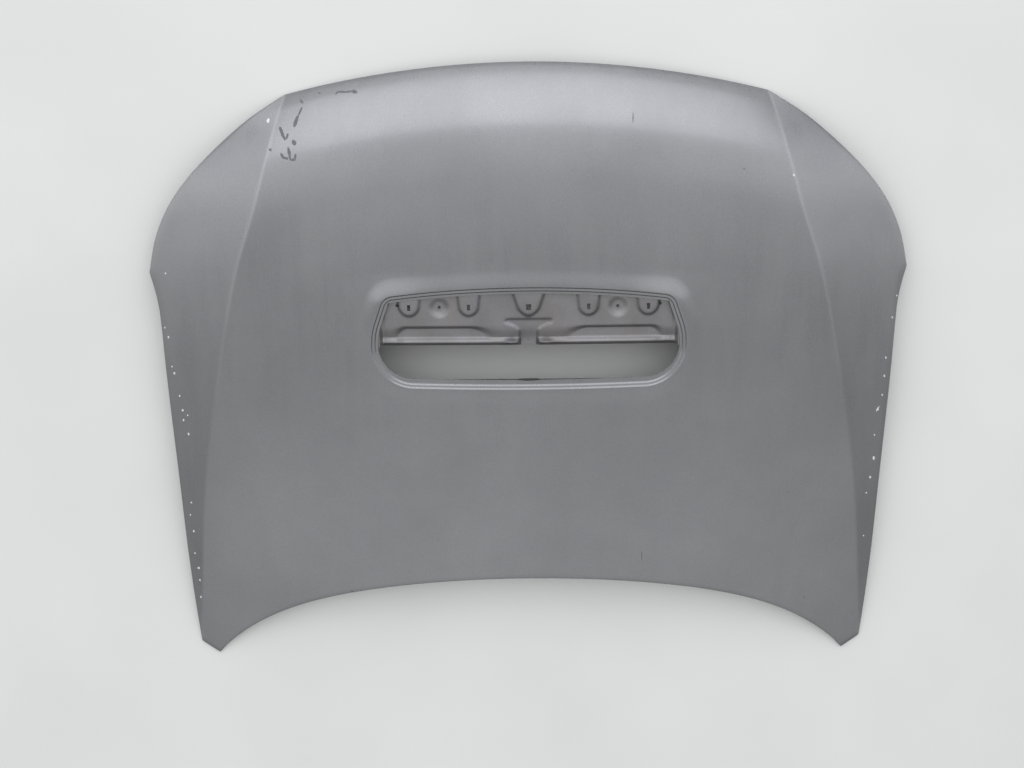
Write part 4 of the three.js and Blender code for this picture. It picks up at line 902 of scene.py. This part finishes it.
def makePaint(name, look):
    material, tree, place = startMaterial(name)
    clouds = noise(tree, place, look["cloudMm"], 4)
    streaks = noise(tree, stretched(tree, place, (1, 0.12, 1)), look["streakMm"], 5, 0.4, 0.75)
    flakes = addNode(tree, "ShaderNodeTexVoronoi", {"Vector": place, "Scale": 1 / (look["flakeMm"] * mm)})
    shine = addNode(tree, "ShaderNodeSeparateColor", {"Color": flakes.outputs["Color"]}).outputs["Red"]
    body = blendColour(tree, clouds, colour(look["base"]), colour(look["deep"]))
    dust = addNode(tree, "ShaderNodeMath", {0: streaks, 1: look["dustShare"]},
                   operation="MULTIPLY").outputs["Value"]
    body = blendColour(tree, dust, body, colour(look["dust"]))
    # Painted highlight: a lighter band along the crease is mixed into the paint colour
    highlightShare = addNode(tree, "ShaderNodeAttribute", attribute_name="creaseWear").outputs["Fac"]
    body = blendColour(tree, highlightShare, body, colour(look["worn"]))
    lit = addNode(tree, "ShaderNodeMapRange",
                  {"Value": shine, "To Min": 0.93, "To Max": 1.07}).outputs["Result"]
    body = blendColour(tree, 1.0, body, lit, "MULTIPLY")
    most = look["roughness"] + look["roughMore"]
    rough = addNode(tree, "ShaderNodeMapRange",
                    {"Value": streaks, "To Min": look["roughness"], "To Max": most}).outputs["Result"]
    peel = addNode(tree, "ShaderNodeTexNoise",
                   {"Vector": place, "Scale": 1 / (look["peelMm"] * mm), "Detail": 1.0})
    bump = addNode(tree, "ShaderNodeBump", {"Height": peel.outputs["Fac"], "Strength": 0.05,
                                            "Distance": look["peelDepthMm"] * mm}).outputs["Normal"]
    finishMaterial(tree, **{"Base Color": body, "Metallic": look["metallic"], "Roughness": rough,
                            "Normal": bump, "Coat Weight": look["coat"],
                            "Coat Roughness": look["coatRoughness"]})
    return material


# Steel with a zinc plate: dull, slightly blotched, with a faint yellow passivation
zincLook = {
    "base": "#b9bbb8", "blotch": "#a9aaa2", "roughness": (0.38, 0.5), "blotchMm": 5, "grainMm": 0.6,
}


def makeZinc():
    material, tree, place = startMaterial("zincPlatedSteel")
    blotch = noise(tree, place, zincLook["blotchMm"], 4)
    body = blendColour(tree, blotch, colour(zincLook["base"]), colour(zincLook["blotch"]))
    least, most = zincLook["roughness"]
    rough = addNode(tree, "ShaderNodeMapRange",
                    {"Value": blotch, "To Min": least, "To Max": most}).outputs["Result"]
    grain = addNode(tree, "ShaderNodeTexNoise", {"Vector": place, "Scale": 1 / (zincLook["grainMm"] * mm)})
    bump = addNode(tree, "ShaderNodeBump", {"Height": grain.outputs["Fac"], "Strength": 0.15,
                                            "Distance": 0.1 * mm}).outputs["Normal"]
    finishMaterial(tree, **{"Base Color": body, "Metallic": 1.0, "Roughness": rough, "Normal": bump})
    return material


# Primer under a thin coat of body colour, putty-like sealer, bare primer in a chip and rubbed
# paint: all matt, with a fine grain. Each has two colours, roughness, grain in mm and its strength.
mattLooks = {
    "satinPrimer": ("#8b8d90", "#7d7f81", 0.5, 6, 0.3),
    "rubberMastic": ("#2c2c2d", "#3a3937", 0.85, 3, 0.6),
    "chippedPrimer": ("#d6d9da", "#c3c5c4", 0.65, 2, 0.3),
    "scuffedPaint": ("#57585d", "#6a6b71", 0.7, 3, 0.2),
}


def makeMatt(name):
    base, other, roughness, sizeMm, strength = mattLooks[name]
    material, tree, place = startMaterial(name)
    patches = noise(tree, place, sizeMm, 4)
    body = blendColour(tree, patches, colour(base), colour(other))
    bump = addNode(tree, "ShaderNodeBump", {"Height": patches, "Strength": strength,
                                            "Distance": 0.2 * mm}).outputs["Normal"]
    finishMaterial(tree, **{"Base Color": body, "Roughness": roughness, "Normal": bump})
    return material


def dress(piece, material, slotName):
    piece.data.materials.clear()
    piece.data.materials.append(material)
    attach(piece, "root")


paint, insidePaint = makePaint("metallicPaint", paintLook), makePaint("insidePaint", insideLook)
zinc, primer, mastic = makeZinc(), makeMatt("satinPrimer"), makeMatt("rubberMastic")
print("materials made")

outerSkin = makeOuterSkin()
# Painted highlight along the crease, kept on the skin for the paint to read
addCreaseHighlight(outerSkin)
smooth(outerSkin, 32)
dress(outerSkin, paint, "paint")
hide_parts("outer_skin")
print("outer skin made", len(outerSkin.data.polygons))

innerPanel, hingePads, strikerPad = makeInnerPanel()
panelHoles = {
    "hinge": {"spacing": 24, "radius": 4.5}, "striker": {"spacing": 42, "radius": 3.5},
    "dimple": (*duct["dimple"], 3), "corner": (249, 147, 3.2), "middle": (0, 78, 2.5),  # x, y, radius
}
holes = []
for pad in hingePads.values():
    ahead = np.array([0, 1.0, 0]) - pad["up"] * pad["up"][1]
    ahead /= np.linalg.norm(ahead)
    bolt = panelHoles["hinge"]
    holes += [(pad["centre"] + ahead * s * bolt["spacing"] / 2, pad["up"], bolt["radius"]) for s in (-1, 1)]
bolt = panelHoles["striker"]
holes += [(strikerPad["centre"] + np.array([s * bolt["spacing"] / 2, 0, 0]), (0, 0, 1), bolt["radius"])
          for s in (-1, 1)]
for kind, sides in (("dimple", (-1, 1)), ("corner", (-1, 1)), ("middle", (1,))):
    for side in sides:
        x, y, radius = panelHoles[kind]
        z = float(ductHeight(np.array(float(side * x)), np.array(float(y))))
        holes.append(((side * x, y, z), (0, 0, 1), radius))
drillHoles(innerPanel, holes)
smooth(innerPanel, 35)
dress(innerPanel, insidePaint, "paint")
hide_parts("inner_panel")
print("inner panel made", len(innerPanel.data.polygons))


# Fittings: the shape is the part's own, its edges broken as on a real one
def refine(node, name, bevelMm, levels, material, slotName):
    piece = bpy.data.objects.new(name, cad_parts[node].data.copy())
    bpy.context.scene.collection.objects.link(piece)
    pick(piece)
    bpy.ops.object.mode_set(mode="EDIT")
    bpy.ops.mesh.select_all(action="SELECT")
    bpy.ops.mesh.remove_doubles(threshold=0.00001)
    bpy.ops.mesh.tris_convert_to_quads()
    bpy.ops.object.mode_set(mode="OBJECT")
    if bevelMm:
        bevel = piece.modifiers.new("edges", "BEVEL")
        bevel.width, bevel.segments, bevel.limit_method = bevelMm * mm, 2, "ANGLE"
        bevel.angle_limit = math.radians(40)
    if levels:
        rounding = piece.modifiers.new("rounding", "SUBSURF")
        rounding.levels = rounding.render_levels = levels
    applyModifiers(piece)
    smooth(piece, 40)
    dress(piece, material, slotName)
    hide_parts(node)
    return piece


fittings = {  # bevel in mm, levels of rounding, material, slot
    "hinge_reinforcement": (0.5, 0, primer, "primer"), "striker_reinforcement": (0.4, 0, primer, "primer"),
    "hinge_nut": (0.5, 0, zinc, "zinc"), "striker_nut": (0.4, 0, zinc, "zinc"),
    "striker_plate": (0.6, 0, zinc, "zinc"), "striker_bolt": (0.4, 0, zinc, "zinc"),
    "striker_loop": (0.0, 1, zinc, "zinc"), "mastic": (0.8, 1, mastic, "mastic"),
}
for node in sorted(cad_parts):
    kind = next((k for k in fittings if node.startswith(k)), None)
    if kind:
        words = node.split("_")
        refine(node, words[0] + "".join(w.title() for w in words[1:]), *fittings[kind])
print("fittings made")

# Marks in the paint, as thin patches lying on the skin: strokes are a path and a width, dots and
# chips are x, y and radius, all in mm
marks = {
    "lift": 0.12, "thickness": 0.3,
    "scuffs": [([(-360, 539), (-355, 544), (-338, 543), (-326, 545)], 4.5),
               ([(-329, 545), (-318, 542)], 7),
               ([(-428, 530), (-422, 523)], 6), ([(-423, 516), (-430, 498)], 4),
               ([(-430, 500), (-436, 480)], 7.5),
               ([(-464, 480), (-456, 463), (-452, 456)], 6.5), ([(-450, 458), (-447, 468)], 4.5),
               ([(-438, 456), (-432, 447)], 7.5), ([(-446, 443), (-442, 426)], 5.5),
               ([(-444, 428), (-441, 420), (-433, 420), (-431, 431)], 5),
               ([(-460, 432), (-455, 424), (-446, 422)], 5),
               ([(-483, 440), (-478, 437)], 6), ([(-395, 542), (-389, 542)], 3.5)],
    "scratches": [([(196, 501), (195, 481)], 1.7), ([(223, -356), (224, -378)], 1.6),
                  ([(400, 397), (404, 395)], 3),
                  ([(511, -236), (513, -240)], 3), ([(561, -472), (563, -476)], 3)],
    "nicks": [([(-365, -443), (-358, -443)], 3), ([(-344, -440), (-338, -440)], 2.5)],
    "whiteDots": [(-488, 491, 3.6), (497, 383, 2.4)],
    "edgeChips": [(-699, 206, 1.6), (-707, 100, 1.4), (-701, 82, 2.1), (-698, 23, 1.6), (-694, 10, 2.1),
                  (-686, -35, 1.8), (-682, -64, 2.2), (-682, -84, 2.0), (-672, -74, 1.5), (-673, -112, 2.4),
                  (-680, -257, 1.9), (-684, -284, 1.6), (-680, -319, 2.2), (-682, -368, 1.7),
                  (-677, -401, 2.4), (-677, -428, 2.2), (-679, -467, 2.0),
                  (714, 149, 1.6), (707, 107, 1.8), (698, 28, 2.0), (697, -9, 2.2), (695, -47, 1.7),
                  (688, -76, 2.0), (684, -128, 1.7), (686, -176, 3.4), (681, -216, 2.3),
                  (675, -249, 1.7), (677, -342, 1.6)],
    "curvedChip": ([(691, -70), (686, -74), (685, -80)], 2.2),
}


def patchOn(sheet, x, y, radius):
    count = 9
    turns = np.arange(count) * 2 * math.pi / count
    reach = radius * np.array([random.uniform(0.65, 1.15) for _ in range(count)])
    plan = np.stack([x + reach * np.cos(turns), y + reach * np.sin(turns) * 1.25], -1)
    ids = sheet.add(below(plan, np.full(count, -marks["lift"]), bonnet["edgeStep"]))
    sheet.face(*ids)


def strokeOn(sheet, path, width):
    path = np.array(path, float)
    run = np.concatenate([[0], np.cumsum(np.linalg.norm(np.diff(path, axis=0), axis=1))])
    count = max(3, int(run[-1] / 2))
    where = np.linspace(0, run[-1], count)
    line = np.stack([np.interp(where, run, path[:, k]) for k in (0, 1)], -1)
    along = np.gradient(line, axis=0)
    side = np.stack([-along[:, 1], along[:, 0]], -1)
    side /= np.linalg.norm(side, axis=1, keepdims=True)
    taper = np.sin(np.linspace(0.35, math.pi - 0.35, count)) ** 0.6
    half = width / 2 * taper * np.array([random.uniform(0.7, 1.2) for _ in range(count)])
    lift = np.full(count, -marks["lift"])
    edges = [below(line + s * side * half[:, None], lift, bonnet["edgeStep"]) for s in (-1, 1)]
    ids = sheet.add(np.stack(edges, 0))
    sheet.grid(ids, np.zeros((1, count - 1), bool))


scuffs, chips = Sheet(), Sheet()
for path, width in marks["scuffs"] + marks["scratches"] + marks["nicks"]:
    strokeOn(scuffs, path, width)
for x, y, radius in marks["whiteDots"] + marks["edgeChips"]:
    patchOn(chips, x, y, radius)
strokeOn(chips, *marks["curvedChip"])
for sheet, name, look in ((scuffs, "scuffMarks", "scuffedPaint"), (chips, "paintChips", "chippedPrimer")):
    dress(sheet.piece(name, marks["thickness"]), makeMatt(look), "paint")
print("marks made")

# Floor, light and camera
studio = {
    "floor": "#d8d9d8", "floorShade": "#d4d5d4", "floorHalf": 12.0, "backdrop": "#e6e7e6",
    "lampEnergy": 36.0, "lampSize": (4.4, 2.8), "lampPlace": (-0.1, 3.1, 1.46), "lampAim": (0, 0.4, 0.1),
}
camera = {"place": (-0.028, 0.4884, 2.410), "tilt": (-12.1, 0, -0.55),
          "focalPixels": 1230, "frameWidth": 1024, "sensorMm": 36}
bpy.ops.mesh.primitive_plane_add(size=2 * studio["floorHalf"], location=(0, 0, 0))
floor = bpy.context.active_object
floor.name = "studioFloor"
floorPaint, tree, place = startMaterial("paleFloor")
soft = noise(tree, place, 400, 2)
# From below it lets the bonnet's underside be seen
back = addNode(tree, "ShaderNodeNewGeometry").outputs["Backfacing"]
front = addNode(tree, "ShaderNodeMath", {0: 1.0, 1: back}, operation="SUBTRACT").outputs["Value"]
shade = blendColour(tree, soft, colour(studio["floor"]), colour(studio["floorShade"]))
finishMaterial(tree, **{"Base Color": shade, "Roughness": 0.8, "Alpha": front})
floor.data.materials.append(floorPaint)

lampData = bpy.data.lights.new("softbox", "AREA")
lampData.shape, lampData.energy = "RECTANGLE", studio["lampEnergy"]
lampData.size, lampData.size_y = studio["lampSize"]
lamp = bpy.data.objects.new("softbox", lampData)
bpy.context.scene.collection.objects.link(lamp)
lamp.location = studio["lampPlace"]
lamp.rotation_euler = (Vector(studio["lampAim"]) - lamp.location).to_track_quat("-Z", "Y").to_euler()

# Sky: how bright it is at an angle from overhead, + towards the nose side
sky = [(-90, 0.2), (-60, 0.45), (-42, 1.0), (-31, 0.98), (-22, 0.84), (-12, 0.64), (-5, 0.6), (-1, 1.16),
       (5, 1.22), (14, 1.3), (25, 1.36), (37, 1.42), (60, 1.5), (80, 1.4), (90, 0.9)]
# The two side faces outside the creases see other parts of it
sideSky = [(-90, 0.3), (-45, 0.55), (-30, 0.64), (-18, 0.64), (-10, 0.66), (-4, 0.8), (1, 1.2), (9, 1.5),
           (28, 1.6), (50, 1.45), (62, 1.0), (72, 0.65), (90, 0.5)]
skyAside = [(-1.0, 0.95), (-0.3, 1.0), (0.3, 1.0), (0.6, 0.9), (1.0, 0.82)]
fullSky = 4.0  # a colour ramp stops at 1, so it holds a quarter of each brightness


def lightBands(tree, value, stops, low, high, full):  # brightness that changes along one direction
    share = addNode(tree, "ShaderNodeMapRange", {"Value": value, "From Min": low, "From Max": high})
    bands = addNode(tree, "ShaderNodeValToRGB", {"Fac": share.outputs["Result"]})
    bands.color_ramp.interpolation = "B_SPLINE"
    while len(bands.color_ramp.elements) < len(stops):
        bands.color_ramp.elements.new(0.5)
    for element, (at, bright) in zip(bands.color_ramp.elements, stops):
        element.position = (at - stops[0][0]) / (stops[-1][0] - stops[0][0])
        blue = float(softRamp(at, 0, 60)) if at > 1 else 0  # the light from the nose side is a little cooler
        bright /= full
        element.color = (bright * (1 - 0.02 * blue), bright, bright * (1 + 0.03 * blue), 1)
    return bands.outputs["Color"]


world = bpy.data.worlds.new("studioSky")
bpy.context.scene.world = world
world.use_nodes = True
tree = world.node_tree
tree.nodes.clear()
direction = addNode(tree, "ShaderNodeTexCoord").outputs["Generated"]
parts = addNode(tree, "ShaderNodeSeparateXYZ", {"Vector": direction}).outputs
angle = addNode(tree, "ShaderNodeMath", {0: parts["Y"], 1: parts["Z"]}, operation="ARCTAN2").outputs["Value"]
alongSky = lightBands(tree, angle, sky, -math.pi / 2, math.pi / 2, fullSky)
asideSky = lightBands(tree, parts["X"], skyAside, -1.0, 1.0, 1.0)
fromMiddle = addNode(tree, "ShaderNodeMath", {0: parts["X"]}, operation="ABSOLUTE").outputs["Value"]
outside = addNode(tree, "ShaderNodeMapRange", {"Value": fromMiddle, "From Min": 0.46, "From Max": 0.52})
besideSky = lightBands(tree, angle, sideSky, -math.pi / 2, math.pi / 2, fullSky)
bothSkies = blendColour(tree, outside.outputs["Result"], alongSky, besideSky)
skyLight = blendColour(tree, 1.0, bothSkies, asideSky, "MULTIPLY")
seen = addNode(tree, "ShaderNodeLightPath").outputs["Is Camera Ray"]
lighting = addNode(tree, "ShaderNodeBackground", {"Color": skyLight, "Strength": fullSky})
backdrop = addNode(tree, "ShaderNodeBackground", {"Color": colour(studio["backdrop"])})
shown = addNode(tree, "ShaderNodeMixShader", {0: seen, 1: lighting.outputs["Background"],
                                              2: backdrop.outputs["Background"]}).outputs["Shader"]
addNode(tree, "ShaderNodeOutputWorld", {"Surface": shown})

sightData = bpy.data.cameras.new("sight")
sightData.sensor_width = camera["sensorMm"]
sightData.lens = camera["focalPixels"] / camera["frameWidth"] * sightData.sensor_width
sight = bpy.data.objects.new("sight", sightData)
bpy.context.scene.collection.objects.link(sight)
sight.location = camera["place"]
sight.rotation_euler = [math.radians(v) for v in camera["tilt"]]
bpy.context.scene.camera = sight
bpy.context.scene.view_settings.view_transform = "Standard"
print("studio made")
